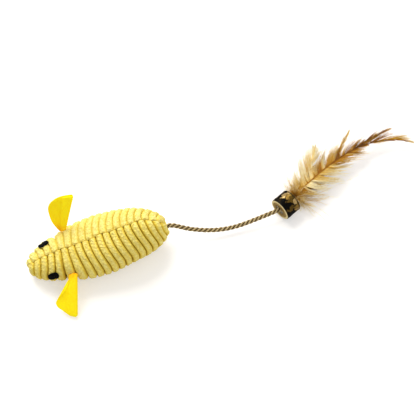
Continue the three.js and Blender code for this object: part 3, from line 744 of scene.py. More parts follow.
def tail_mouth(last, side, turn, swell):
    """Rings that round the body off to the twine: from the last ring they close in on a circle a little
    wider than the twine, and then run back inside along it."""
    share = np.linspace(0, 1, MOUTH_STEPS + 1)[1:, None]
    centre_x = BODY_LENGTH / 2
    circle = np.stack([0 * turn, side * MOUTH_RADIUS * np.sin(turn), MOUTH_RADIUS * np.cos(turn)], axis=-1)
    closing = (1 - np.cos(share * math.pi / 2))[..., None]
    x = last[None, :, 0] + (centre_x - 0.1 * MM - last[None, :, 0]) * np.sin(share * math.pi / 2)
    sections = (1 - closing) * last[None] + closing * (circle + [0, 0, TAIL_HEIGHT])[None]
    sections[..., 0] = x
    inside = np.repeat((circle + [0, 0, TAIL_HEIGHT])[None], len(MOUTH_DEPTHS), axis=0)
    inside[..., 0] = centre_x - MOUTH_DEPTHS
    inside[..., 1:] = (inside[..., 1:] - TAIL_CENTRE) * 0.95 + TAIL_CENTRE
    fading = np.concatenate([swell[None] * (1 - share), np.zeros((len(MOUTH_DEPTHS), len(turn)))])
    return np.concatenate([sections, inside]), fading


def seam_wander(x):
    """How far the back seam strays from the middle: two slow waves, as a seam sewn by hand has."""
    return SEAM_WANDER * (np.sin(x / (5.1 * MM) + 1) + 0.7 * np.sin(x / (2.3 * MM)))


def panel(side, phase, dart_depth):
    """One panel as rings from the nose to the tail: each goes over the outer face from the back seam to
    the belly seam and returns on the inner face. With them comes the swell of the wale at each point."""
    share = np.linspace(0, 1, SIDE_STEPS)
    turn = math.pi * (share - 0.6 * np.sin(2 * math.pi * share) / (2 * math.pi))
    wale = wale_shares(phase)[:, None]
    outer, swell = corduroy_surface(side, wale, turn[None], phase, dart_depth)
    mouth, fading = tail_mouth(outer[-1], side, turn, swell[-1])
    outer = np.concatenate([outer, mouth])
    swell = np.concatenate([swell, fading])
    back = turn[:: -(SIDE_STEPS // INNER_STEPS)]
    station = on_wale(wale, back[None])
    inner = teardrop(station, side * back[None])
    half = np.abs(inner[..., 1]).max(axis=1)
    shrink = 1 - np.minimum(0.45, CLOTH_THICKNESS / half)[:, None, None]
    middle = (inner[:, :1] + inner[:, -1:]) / 2
    inner = (inner - middle) * shrink + middle
    lining = np.repeat(mouth[-1:, :: -(SIDE_STEPS // INNER_STEPS)], len(mouth), axis=0)
    lining[..., 0] = np.linspace(inner[-1, :, 0], mouth[-1, 0, 0], len(mouth) + 1)[1:]
    lining[..., 1:] = (lining[..., 1:] - TAIL_CENTRE) * 1.25 + TAIL_CENTRE
    inner = np.concatenate([inner, lining])
    rings = np.concatenate([outer, inner], axis=1)
    rings[..., 1] = side * np.maximum(side * rings[..., 1], SEAM_HALF_GAP)
    on_back = smoothstep(rings[..., 2], 0.25 * BODY_HEIGHT, 0.6 * BODY_HEIGHT)
    near_end = smoothstep(BODY_LENGTH / 2 - np.abs(rings[..., 0]), 0, 6 * MM)
    near_seam = np.exp(-((rings[..., 1] / (5 * MM)) ** 2))
    rings[..., 1] += seam_wander(rings[..., 0]) * near_seam * on_back * near_end
    rings[..., 2] = np.maximum(rings[..., 2], 0)
    nose = teardrop(np.array(0.0), np.array(0.0)) + [0, side * SEAM_HALF_GAP, 0]
    points, faces = closed_rings(rings + mouse_origin, start=nose + mouse_origin)
    inside = np.zeros(inner.shape[:2])
    swell = np.concatenate([np.concatenate([swell, inside], axis=1).ravel(), [1.0]])
    return points, faces, swell


# Lemon on the crowns, golden down their flanks, ochre at the bottom of the grooves. These steps are partly
# the cloth's own colours and partly painted shade in the grooves.
corduroy = clouded_finish(
    "corduroy", [(0.0, (84, 54, 0)), (0.34, (146, 100, 0)), (0.54, (212, 176, 40)), (0.8, (243, 227, 106)),
                 (1.0, (249, 239, 154))],
    [((236, 210, 88), 150, 600, 0.5), ((206, 170, 50), 760, 1800, 0.6)], kept="swell",
    relief=0.22 * MM, strength=0.8, Roughness=0.95, Specular_IOR_Level=0.04, Sheen_Weight=0.02,
    Sheen_Roughness=0.6)
# The far panel's colour value is lifted towards the crowns' colour: painted light, as that side faces the
# key lamp.
for name, side, phase, dart_depth, painted_light_lift in (
    ("panel_left", -1, 0.0, 0.9 * MM, 0), ("panel_right", 1, 0.016, 0.3 * MM, 0.7),
):
    points, faces, swell = panel(side, phase, dart_depth)
    swell = painted_light_lift + (1 - painted_light_lift) * swell
    add_piece(name, points, faces, corduroy, "corduroy", "mouse", ["side_" + name],
                             values={"swell": swell})

# %% [markdown]
# Each ear is one piece of thick felt. Its narrow end is pinched into the dart with a few stitches, and its
# rear edge is folded under, which stiffens it. A felt piece is a sheet with a thickness, so its shape is
# worked out flat, as straight lines that fan out from the pinched root to the outline, and these are then
# laid along the ear's bent middle line. The outline's points are shares of the ear's two sizes.

# %% Two felt ears
FELT_THICKNESS = 1 * MM
FOLD_GAP = 0.3 * MM
FOLD_DEPTH = 6 * MM
EAR_LENGTH = 30.2 * MM
EAR_WIDTH = 16.4 * MM
EAR_STAND = 4 * MM
EAR_ROOT_X = 29 * MM - BODY_LENGTH / 2
EAR_TWIST_SHARE = 0.6
EAR_ROWS = 34
EAR_COLUMNS = 44
EAR_ROOT_SPREAD = 1 * MM
FOLD_STEPS = 9
LEFT_OUTLINE_SHARES = [
    [0.12, 0.26], [0.13, 0.435], [0.2, 0.55], [0.38, 0.675], [0.57, 0.765], [0.632, 0.815],
    [0.58, 0.86], [0.355, 0.915], [0.155, 0.956], [0.02, 0.982], [-0.12, 0.99], [-0.24, 0.996],
]
RIGHT_OUTLINE_SHARES = [
    [0.274, 0.29], [0.431, 0.448], [0.534, 0.578], [0.585, 0.655], [0.59, 0.71], [0.565, 0.76],
    [0.5, 0.81], [0.29, 0.908], [0.16, 0.945], [0.024, 0.975], [-0.12, 1], [-0.25, 1.02], [-0.38, 1.035],
]
EAR_POSES = {
    "left": {"stance": {"side": -1, "turn": 68, "heading": 20, "rise": -31},
             "outline_shares": LEFT_OUTLINE_SHARES, "root_width": 4.6 * MM, "flare": 1.7, "crease": 0.66,
             "seed": 3},
    "right": {"stance": {"side": 1, "turn": 54, "heading": -29, "rise": 57},
              "outline_shares": RIGHT_OUTLINE_SHARES, "root_width": 3.2 * MM, "flare": 1.0, "crease": 0.4,
              "seed": 4},
}


def ear_ribbon(place, side, turn, heading, rise):
    """The ear's middle line at places from 0 to 1, the way across the felt and the way out of it. The line
    is a bent one: straight out of the cloth at first, and then towards the tip."""
    heading, rise, angle = math.radians(heading), math.radians(rise), side * math.radians(turn)
    reach = np.array([-math.sin(heading) * math.cos(rise), side * math.cos(heading) * math.cos(rise),
                      math.sin(rise)])
    forward = unit(side * np.cross([0, 0, 1], reach))
    station = station_at(np.array(EAR_ROOT_X))
    out = outward(station, np.array(angle))
    root = teardrop(station, np.array(angle)) + out * WALE_HEIGHT
    line = unit(forward - out * (forward @ out))
    knee, tip = root + out * EAR_STAND, root + reach * EAR_LENGTH
    p = place[..., None]
    point = (1 - p) ** 2 * root + 2 * p * (1 - p) * knee + p**2 * tip
    tangent = unit(2 * (1 - p) * (knee - root) + 2 * p * (tip - knee))
    turned = smoothstep(p, 0, EAR_TWIST_SHARE)
    across = line + (forward - line) * turned
    across = unit(across - tangent * (across * tangent).sum(-1, keepdims=True))
    return point, across, -side * np.cross(tangent, across)


def ear_sheet(stance, outline_shares, root_width, flare, crease, seed):
    """The felt's two faces as rings that close round its edges, and how far each point is from the root,
    which the colour reads; it is lowered along the crease and in the pleat valleys near the root as painted
    shade.
    Rows go from the root to the outline, and columns from the front edge to the folded one and under."""
    layer = FELT_THICKNESS + FOLD_GAP
    knots = np.column_stack([outline_shares, np.zeros(len(outline_shares))])
    outline = smooth_line(knots * [EAR_WIDTH, EAR_LENGTH, 1], EAR_COLUMNS)
    flat = np.linspace(0, 1, EAR_COLUMNS)
    tip = outline[:, 0]
    along = outline[:, 1] / EAR_LENGTH
    root = root_width / 2 - flat * (root_width + EAR_ROOT_SPREAD - layer / 2)
    bend = np.concatenate([np.linspace(0, 1, FOLD_STEPS)[1:], np.ones(FOLD_STEPS + 1)])
    inner = np.concatenate([np.zeros(FOLD_STEPS - 1), np.linspace(0, 1, FOLD_STEPS + 2)[1:]])
    bulge = layer / 2 * np.sin(math.pi * bend)
    tip = np.concatenate([tip, tip[-1] - bulge + inner * FOLD_DEPTH])
    root = np.concatenate([root, root[-1] - bulge + inner * root_width / 2])
    under_tip = np.interp(tip[EAR_COLUMNS:], outline[::-1, 0], along[::-1]) - 0.02
    along = np.concatenate([along, np.minimum(along[-1], under_tip)])
    under = np.concatenate([0 * flat, bend])
    row = np.linspace(0, 1, EAR_ROWS)
    share = (1 - (1 - row) ** 1.7)[:, None]
    point, across, lift = ear_ribbon(along[None] * share, **stance)
    to_front = np.clip(tip / tip.max(), 0, 1)
    sideways = root + (tip - root) * share ** (1 + (flare - 1) * to_front)
    raised = layer * (0.5 - under) + 0 * share
    over = np.linspace(0, 1, len(under))
    gathers = np.cos(5 * math.pi * over)[None]
    pleat = 0.2 * MM * gathers * (1 - share) ** 4
    fold_line = np.exp(-(((over[None] - crease) / 0.05) ** 2))
    pleat = pleat + 0.55 * MM * fold_line * share * (1 - share) ** 1.5 * 3 * (under == 0)
    rim = smoothstep(share, 0.8, 1.0) * 0.5 * MM * (under == 0)
    wave = ripples(np.stack([sideways, along * share * EAR_LENGTH, 0 * sideways], -1), 13 * MM, 8, seed)
    raised = raised + (pleat - rim + 0.3 * MM * wave * smoothstep(share, 0.1, 0.5)) * (1 - under)
    middle = point + across * sideways[..., None] + lift * raised[..., None]
    turned = math.pi * under[None, :, None]
    away = lift * np.cos(turned) - across * np.sin(turned)
    from_rim = (1 - share) * along[None] * EAR_LENGTH
    half = FELT_THICKNESS / 2
    thin = half * np.sqrt(1 - (1 - np.clip(from_rim / (0.55 * MM), 0, 1)) ** 2)[..., None] * 0.94
    front = middle[:, :1] + (middle[:, :1] - middle[:, 1:2]) * 0.6
    back = middle[:, -1:] + unit(middle[:, -1:] - middle[:, -2:-1]) * half * 0.7
    rings = np.concatenate([middle + away * thin, back, (middle - away * thin)[:, ::-1], front], axis=1)
    # Near the root the colour value dips in the pleat valleys, and along the crease: painted shade.
    pinch = 0.09 * (1 - share) ** 4 * gathers
    depth = along * share + pinch - 0.12 * fold_line * (1 - share) ** 2
    distance = np.concatenate([depth, depth[:, -1:], depth[:, ::-1], depth[:, :1]], axis=1)
    size = np.diff(middle[:, :-1], axis=0), np.diff(middle[:-1], axis=1)
    area = np.linalg.norm(np.cross(size[0], size[1]), axis=-1).sum()
    return rings, distance, area


# Bright yellow wool with paler and deeper clouds. The orange at the pinched root and the darker crease and
# pleat valleys are painted shade.
felt = clouded_finish(
    "felt", [(0.0, (228, 116, 0)), (0.14, (246, 160, 0)), (0.4, (255, 220, 0)), (1.0, (255, 238, 4))],
    [((252, 200, 0), 260, 900, 0.45), ((255, 240, 50), 700, 3800, 0.4)], kept="from_root",
    relief=0.12 * MM, strength=0.6, Roughness=0.95, Specular_IOR_Level=0.15,
    # The faint yellow emission is painted light: the ears glow a little to look brighter.
    Emission_Color=tint(255, 225, 0), Emission_Strength=0.07)
for name, pose in EAR_POSES.items():
    rings, distance, area = ear_sheet(**pose)
    points, faces = closed_rings(rings + mouse_origin, end="zip")
    ear = add_piece("felt_ear_" + name, points, faces, felt, "ear_felt", stands_for=["ear_" + name],
                    values={"from_root": distance}, merge=MERGE_DISTANCE)
    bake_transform(ear)
    print("Flat area of the", name, "ear:", round(area * 1e6), "square mm")

# %% [markdown]
# The eyes are black patches that hug the bolsters. A patch is worked out in the cloth's own two numbers, so
# it follows the wales: rings go from its middle out to its rim on top, and come back underneath. Over a
# groove the patch spans a little, so its own relief is shallower than the cloth's.

# %% Two eyes
EYE_THICKNESS = 0.7 * MM
EYE_FULLNESS = 2.5
EYE_SIDES = 72
EYES = {
    "left": {"side": -1, "wale": 0.187, "turn": 70, "length": 6.9 * MM, "height": 6.4 * MM, "slant": -0.16},
    "right": {"side": 1, "wale": 0.158, "turn": 43, "length": 7.4 * MM, "height": 3.6 * MM, "slant": 0.0},
}


def eye_patch(side, wale, turn, length, height, slant):
    """Rings of an oval patch on the cloth. The oval is drawn in shares of its length along the body and of
    its height round it, a little fuller than an ellipse."""
    angle = full_turn(EYE_SIDES)
    reach = np.concatenate([np.linspace(0.04, 0.94, 16), [0.985, 1.0, 0.985], np.linspace(0.94, 0.04, 8)])
    lift = np.concatenate([np.full(16, 1.0), [0.75, 0.4, 0.1], np.full(8, 0.0)]) * EYE_THICKNESS
    full = np.abs(np.cos(angle)) ** EYE_FULLNESS + np.abs(np.sin(angle)) ** EYE_FULLNESS
    full = full ** (-1 / EYE_FULLNESS)
    x, y = np.cos(angle) * full * reach[:, None], np.sin(angle) * full * reach[:, None]
    radius = np.linalg.norm(teardrop(on_wale(wale, math.radians(turn)), side * math.radians(turn))[1:]
                            - [0, BODY_HEIGHT * 0.45])
    own_turn = math.radians(turn) + (y + slant * x) * height / 2 / radius
    own_wale = wale + x * length / 2 / BODY_LENGTH
    station = on_wale(own_wale, own_turn)
    across = np.abs(2 * (own_wale * WALE_COUNT % 1) - 1)
    swell = 0.42 + 0.58 * (1 - across**2.6) ** 0.62
    raised = WALE_HEIGHT * swell + 0.12 * MM + lift[:, None]
    return teardrop(station, side * own_turn) + outward(station, side * own_turn) * raised[..., None]


eye_black = clouded_finish("eye_black", (2, 2, 3), [((16, 15, 17), 600, 3500, 0.5)], relief=0.1 * MM,
                           strength=0.6, Roughness=0.7, Specular_IOR_Level=0.03)
for name, place in EYES.items():
    points, faces = capped_rings(eye_patch(**place) + mouse_origin)
    add_piece("patch_eye_" + name, points, faces, eye_black, "eye_black", "mouse", ["eye_" + name])

# %% [markdown]
# Inside the cloth are two wads of polyester fibre with a pocket of dried leaf between them. Nothing of them
# shows, but they fill the form and give the toy its weight. Each wad is a cup: rings follow the cloth from
# its far end to the pocket, turn in over the rim and follow the pocket's oval back to the middle line.

# %% The filling
FILLING_INSET = 2.7 * MM
POCKET_CENTRE = np.array([4, 0, 15]) * MM
POCKET_SIZE = np.array([24, 20, 15]) * MM
POCKET_GAP = 0.3 * MM
WAD_RINGS = 60
WAD_SIDES = 96
WADS = {
    "filling_front": {"start_x": -46.5 * MM, "rim_x": 3.8 * MM, "seed": 21},
    "filling_rear": {"start_x": 38 * MM, "rim_x": 4.2 * MM, "seed": 22},
}


def wad(start_x, rim_x, seed):
    """Rings round the body's length: over the outside to the rim, across it, and into the pocket's cup.
    The outside is the body drawn in towards its own middle line, with small random swellings."""
    turn = full_turn(WAD_SIDES)
    way_out = np.sin(np.linspace(0.02, 0.5, WAD_RINGS) * math.pi)
    station = station_at(start_x + (rim_x - start_x) * way_out)
    skin = teardrop(station[:, None], turn[None] * np.ones((WAD_RINGS, 1)))
    middle = (skin[:, :1] + skin[:, WAD_SIDES // 2, None]) / 2
    reach = np.abs(skin[..., 1]).max(axis=1)[:, None, None]
    rounded = np.sqrt(np.linspace(0.12, 1, WAD_RINGS).clip(0, 0.5) * 2)[:, None, None]
    shrink = (1 - FILLING_INSET / reach) * rounded
    skin = middle + (skin - middle) * shrink
    skin += unit(skin - middle) * (ripples(skin, 6 * MM, 12, seed) * 0.25 * MM)[..., None]
    oval = POCKET_SIZE / 2 + POCKET_GAP
    angle = np.linspace(0.5, 0.02, 16)[:, None] * math.pi
    way = np.sign(start_x)
    cup = POCKET_CENTRE + np.stack([way * oval[0] * np.cos(angle) + 0 * turn,
                                    oval[1] * np.sin(angle) * np.sin(turn),
                                    oval[2] * np.sin(angle) * np.cos(turn)], axis=-1)
    cup[..., 0] += rim_x - POCKET_CENTRE[0]
    share = np.linspace(0, 1, 8)[1:-1, None, None]
    rim = skin[-1:] + (cup[:1] - skin[-1:]) * share
    return np.concatenate([skin, rim, cup])


stuffing = clouded_finish("stuffing", (244, 242, 236), [((220, 216, 206), 220, 1400, 0.6)],
                          relief=0.5 * MM, strength=0.9, Roughness=1.0, Sheen_Weight=0.3)
for name, sizes in WADS.items():
    points, faces = capped_rings(wad(**sizes) + mouse_origin)
    add_piece("wad_of_" + name, points, faces, stuffing, "stuffing", "mouse", [name])

# %% [markdown]
# The pocket holds dried catnip. A core keeps the volume, and a few hundred broken flakes lie on it, each a
# thin spindle of three sides, which is enough for something so small.

# %% The dried leaf
FLAKES = 420


def leaf_flakes(seed):
    """Short spindles that lie along the oval's skin, turned every way."""
    random = np.random.default_rng(seed)
    out = unit(random.normal(size=(FLAKES, 3)))
    place = POCKET_CENTRE + out * POCKET_SIZE / 2 * 0.93
    way = unit(np.cross(out, random.normal(size=(FLAKES, 3))))
    share = np.linspace(-1, 1, 4)[None, :, None]
    reach = random.uniform(0.8, 1.9, (FLAKES, 1, 1)) * MM
    lines = place[:, None] + way[:, None] * share * reach - out[:, None] * share**2 * reach * 0.25
    return strands(lines, np.array([0.12, 0.36, 0.34, 0]) * MM * np.ones((FLAKES, 1)))


# Grey green crumbs with browner ones among them.
dried_leaf = clouded_finish("dried_leaf", (128, 134, 82), [((96, 84, 46), 500, 2400, 0.8)],
                            relief=0.3 * MM, strength=0.8, Roughness=0.9)
angle = np.linspace(0.06, 0.94, 22)[:, None] * math.pi
core = round_axis(np.cos(angle), np.sin(angle), full_turn(48))
core = core * (0.9 + 0.02 * ripples(core, 0.4, 10, seed=23))[..., None] * POCKET_SIZE / 2 + POCKET_CENTRE
points, faces = join(capped_rings(core), leaf_flakes(seed=24))
add_piece("dried_leaf", points + mouse_origin, faces, dried_leaf, "catnip", "mouse", ["catnip_charge"])

# %% [markdown]
# The charm hangs from a slice of a thin branch, lacquered with its bark on. Its surface is a profile that
# runs through the bore, over both cut faces and over the bark, carried round the branch's axis. Old bark
# splits into long scales: each point finds its nearest and second nearest scale centre, and where the two
# are equally near there is a crack. The centres stand in staggered rings with some random stray. The mesh
# keeps the crack and a tone for each scale, for the finish.

# %% The bead
BEAD_DIAMETER = 17.5 * MM
BEAD_LENGTH = 12.5 * MM
BEAD_RIM = 0.7 * MM
BORE_DIAMETER = 6.8 * MM
BARK_RIPPLE = 0.25 * MM
BARK_RIPPLES = 4
SCALES_ROUND = 16
SCALES_ALONG = 2
SCALE_STRAY = 0.36
SCALE_STRETCH = 2.3
CRACK_DEPTH = 0.22 * MM
BEAD_SIDES = 264
BARK_LUMP = 0.07 * MM
FACE_GRAIN = 0.03 * MM


def bead_profile():
    """Distances from the axis and places along it, from the bore's middle round the section and back."""
    radius, bore = BEAD_DIAMETER / 2, BORE_DIAMETER / 2
    corner = np.linspace(0, math.pi / 2, 7)
    near = np.stack([radius - BEAD_RIM + BEAD_RIM * np.sin(corner),
                     BEAD_RIM - BEAD_RIM * np.cos(corner)], axis=-1)
    far = np.stack([near[::-1, 0], BEAD_LENGTH - near[::-1, 1]], axis=-1)
    face = np.linspace(bore + 0.15 * MM, radius - BEAD_RIM, 22)[:-1]
    side = np.linspace(BEAD_RIM, BEAD_LENGTH - BEAD_RIM, 62)[1:-1]
    wall = np.linspace(BEAD_LENGTH - 0.15 * MM, 0.15 * MM, 12)
    return np.concatenate([
        np.stack([face, 0 * face], -1), near, np.stack([0 * side + radius, side], -1), far,
        np.stack([face[::-1], 0 * face + BEAD_LENGTH], -1), np.stack([0 * wall + bore, wall], -1),
        [[face[0], 0]],
    ])


def bark_scales(angle, along, seed):
    """For points on the bark: how deep in a crack they are, and a tone for the scale they belong to.

    The centres stand in rings, each ring half a step round from the one before, and each centre strays
    from its place at random. A tone is random ** 1.6, so that more scales are dark than pale.
    """
    random = np.random.default_rng(seed)
    radius = BEAD_DIAMETER / 2
    ring, place = np.divmod(np.arange(SCALES_ROUND * SCALES_ALONG), SCALES_ROUND)
    steps = np.stack([place + 0.5 * ring, ring + 0.5], axis=-1)
    steps += random.uniform(-SCALE_STRAY, SCALE_STRAY, steps.shape)
    centres = steps * [2 * math.pi / SCALES_ROUND, BEAD_LENGTH / SCALES_ALONG]
    tones = random.uniform(0, 1, len(ring)) ** 1.6
    angle = angle + 0.09 * np.sin(along / (0.9 * MM) + 3 * angle) + 0.05 * np.sin(along / (0.4 * MM))
    along = along + 0.5 * MM * np.sin(5 * angle + 1) + 0.3 * MM * np.sin(13 * angle)
    gap = (angle[..., None] - centres[:, 0] + math.pi) % (2 * math.pi) - math.pi
    distance = np.hypot(gap * radius, (along[..., None] - centres[:, 1]) / SCALE_STRETCH)
    order = np.argsort(distance, axis=-1)[..., :2]
    nearest = np.take_along_axis(distance, order, axis=-1)
    crack = 1 - smoothstep(nearest[..., 1] - nearest[..., 0], 0.15 * MM, 0.5 * MM)
    return crack, tones[order[..., 0]]


profile = bead_profile()
angle = full_turn(BEAD_SIDES)[None]
out, along = profile[:, :1], profile[:, 1:]
bark = smoothstep(out, BEAD_DIAMETER / 2 - 0.45 * MM, BEAD_DIAMETER / 2 - 0.1 * MM) + 0 * angle
share = (out - BORE_DIAMETER / 2) / (BEAD_DIAMETER - BORE_DIAMETER) * 2
# The seed puts a pale scale on the bead's top, where its cream stands in for the lamp's reflection: a
# painted highlight.
crack, scale_tone = bark_scales(angle + 0 * along, along + 0 * angle, seed=15)
ripple = BARK_RIPPLE * (np.cos(BARK_RIPPLES * angle) - 1) * np.sin(angle / 2) ** 2 * share
grain = np.sin(out / (0.42 * MM) + 0.8 * np.sin(angle * 3) + 1.3)
relief = -CRACK_DEPTH * crack * bark - 0.1 * MM * bark * scale_tone + 0 * angle
radius = out + ripple + relief
place = round_axis(along, radius, angle)
lumps = ripples(place, 5 * MM, 10, seed=12) * BARK_LUMP * bark
place[..., 1:] *= (1 + (lumps - BARK_LUMP * bark) / radius)[..., None]
face_relief = FACE_GRAIN * grain * (1 - bark) * (share > 0.02)
place[..., 0] += np.where(along < BEAD_LENGTH / 2, 1, -1) * (FACE_GRAIN + face_relief) * (1 - bark)
points, faces = closed_rings(place, "zip", "zip")


def make_branch():
    """Lacquered bark in tans and browns with black cracks, whose palest cream tone is a painted highlight on
    the bead's top, and pale end grain with a darker ring, darker still towards the bore as painted shade.
    """
    material, tree, shader = new_material("branch", Coat_Weight=0.04, Coat_Roughness=0.16, Coat_IOR=1.4,
                                          Specular_IOR_Level=0.02)
    where = object_place(tree)
    # The cream at the top of this scale is a painted highlight, where a pale scale lies on the bead's top.
    bark_colour = colour_steps(tree, attribute(tree, "tone"), [
        (0.0, (2, 1, 0)), (0.2, (8, 5, 1)), (0.3, (84, 64, 20)), (0.7, (140, 110, 48)),
        (1.0, (232, 204, 150)),
    ])
    lacquer = attribute(tree, "lacquer")
    lacquered = remap(tree, lacquer, 0, 1, 0, 0.6)
    streaked = add_group(tree, cloudy_tint, Vector=where, Color=bark_colour, Shade=tint(66, 44, 12),
                         Coarse=380.0, Fine=1500.0, Amount=lacquered)
    cracked = mix_colour(tree, attribute(tree, "crack"), streaked["Color"], tint(3, 2, 1))
    # End grain: darker towards the bore as painted shade, with a darker ring further out.
    wood = colour_steps(tree, attribute(tree, "out"), [
        (0.0, (84, 64, 28)), (0.15, (118, 94, 48)), (0.45, (146, 120, 66)), (0.56, (112, 86, 40)),
        (0.66, (230, 210, 152)), (0.88, (246, 230, 178)), (1.0, (50, 34, 14)),
    ])
    grained = add_group(tree, cloudy_tint, Vector=where, Color=wood, Shade=tint(160, 130, 74),
                        Coarse=700.0, Fine=3000.0, Amount=0.5)
    both = mix_colour(tree, attribute(tree, "bark"), grained["Color"], cracked)
    feed(tree, shader, Base_Color=both, Metallic=lacquered,
         Roughness=remap(tree, lacquer, 0, 1, 0.6, 0.34),
         Normal=bump(tree, grained["Height"], 0.05 * MM, 0.5))
    return material


rim_line = sum(np.exp(-(((along - rim) / (0.5 * MM)) ** 2)) for rim in (BEAD_RIM, BEAD_LENGTH - BEAD_RIM))
crack = np.clip(crack + 0.9 * rim_line, 0, 1)
lacquer = bark * smoothstep(scale_tone, 0.2, 0.34) * (1 - crack)
add_piece("branch_bead", points @ bead_axes + bead_origin, faces, make_branch(), "branch", "charm",
          ["wood_bead"], merge=MERGE_DISTANCE, values={
              "crack": crack, "tone": scale_tone, "bark": bark, "lacquer": lacquer,
              "out": np.clip(share, 0, 1) + 0 * angle})

# %% [markdown]
# A plug of clear glue holds the twine in the bore. It set with a dished face where it wets the twine and the
# wood, so its profile is a solid of revolution whose front is lowest half way out. Behind it the quills are
# wound with thread before they are pushed in, and each turn of thread is one bump of a helix.

# %% Glue and binding
GLUE_DEPTH = 7 * MM
GLUE_RADIUS = BORE_DIAMETER / 2 - 0.02 * MM
BINDING_LENGTH = 7.5 * MM
BINDING_OVERHANG = 3.6 * MM
BINDING_END = BEAD_LENGTH + BINDING_OVERHANG
BINDING_RADIUS = BORE_DIAMETER / 2 - 0.3 * MM
THREAD_PITCH = 0.55 * MM
THREAD_BUMP = 0.22 * MM
BINDING_TAPER = 1.2 * MM
PLUG_SIDES = 96

angle = full_turn(PLUG_SIDES)[None]
share = np.linspace(0.03, 1, 26)[:, None]
dish = 0.5 * MM + 0.9 * MM * (1 - (2 * share - 1.15) ** 2) + 0.07 * MM * np.sin(2 * angle + 4 * share)
front = round_axis(dish - 0.6 * MM * (share > 0.999), GLUE_RADIUS * share, angle)
back = front[[-1, -1]] * [0, 1, 1] + [[[GLUE_DEPTH * 0.6, 0, 0]], [[GLUE_DEPTH, 0, 0]]]
points, faces = closed_rings(np.concatenate([front, back]), front[0].mean(0), None)


def make_glue():
    """Clear set glue: plain glass, with faint clouds in its roughness."""
    material, tree, shader = new_material("glue", Base_Color=tint(206, 184, 132), Transmission_Weight=0.5,
                                          IOR=1.46)
    haze = noise(tree, object_place(tree), 900.0)
    feed(tree, shader, Roughness=remap(tree, haze, 0.3, 0.7, 0.04, 0.16))
    return material


add_piece("glue", points @ bead_axes + bead_origin, faces, make_glue(), "glue", "charm", ["glue_plug"])

along = np.linspace(0, 1, 150)[:, None] * BINDING_LENGTH + BINDING_END - BINDING_LENGTH
turns = (along / THREAD_PITCH + angle / (2 * math.pi)) % 1
bumps = np.sqrt(np.maximum(1 - (2 * turns - 1) ** 2, 0))
from_end = np.minimum(along - along[0], along[-1] - along)
ends = np.sqrt(1 - (1 - np.clip(from_end / BINDING_TAPER, 0, 1)) ** 2)
radius = (BINDING_RADIUS - 0.25 * MM) * (0.55 + 0.45 * ends) + THREAD_BUMP * bumps
points, faces = capped_rings(round_axis(along, radius, angle))

# Golden brown waxed thread. The dark lines between its turns are painted shade.
thread = clouded_finish(
    "thread", [(0.0, (52, 32, 10)), (0.5, (128, 88, 30)), (1.0, (172, 128, 56))],
    [((104, 66, 18), 700, 3600, 0.6)], kept="bump", relief=0.08 * MM, strength=0.6, Roughness=0.55)
add_piece("thread_binding", points @ bead_axes + bead_origin, faces, thread, "binding", "charm",
          ["quill_binding"], values={"bump": np.concatenate([bumps.ravel(), [0.3, 0.3]])})

# %% [markdown]
# A feather is a quill with hundreds of barbs on each side. Here each barb is a closed tube of three sides
# that ends in a point, bent forwards along the quill, and neighbouring barbs lean together in clumps, as
# they do once a feather has been handled. All barbs of a feather are computed at once, as arrays of lines.
# The mesh keeps a tone for each point, from cream over gold to brown, and the finish reads it.

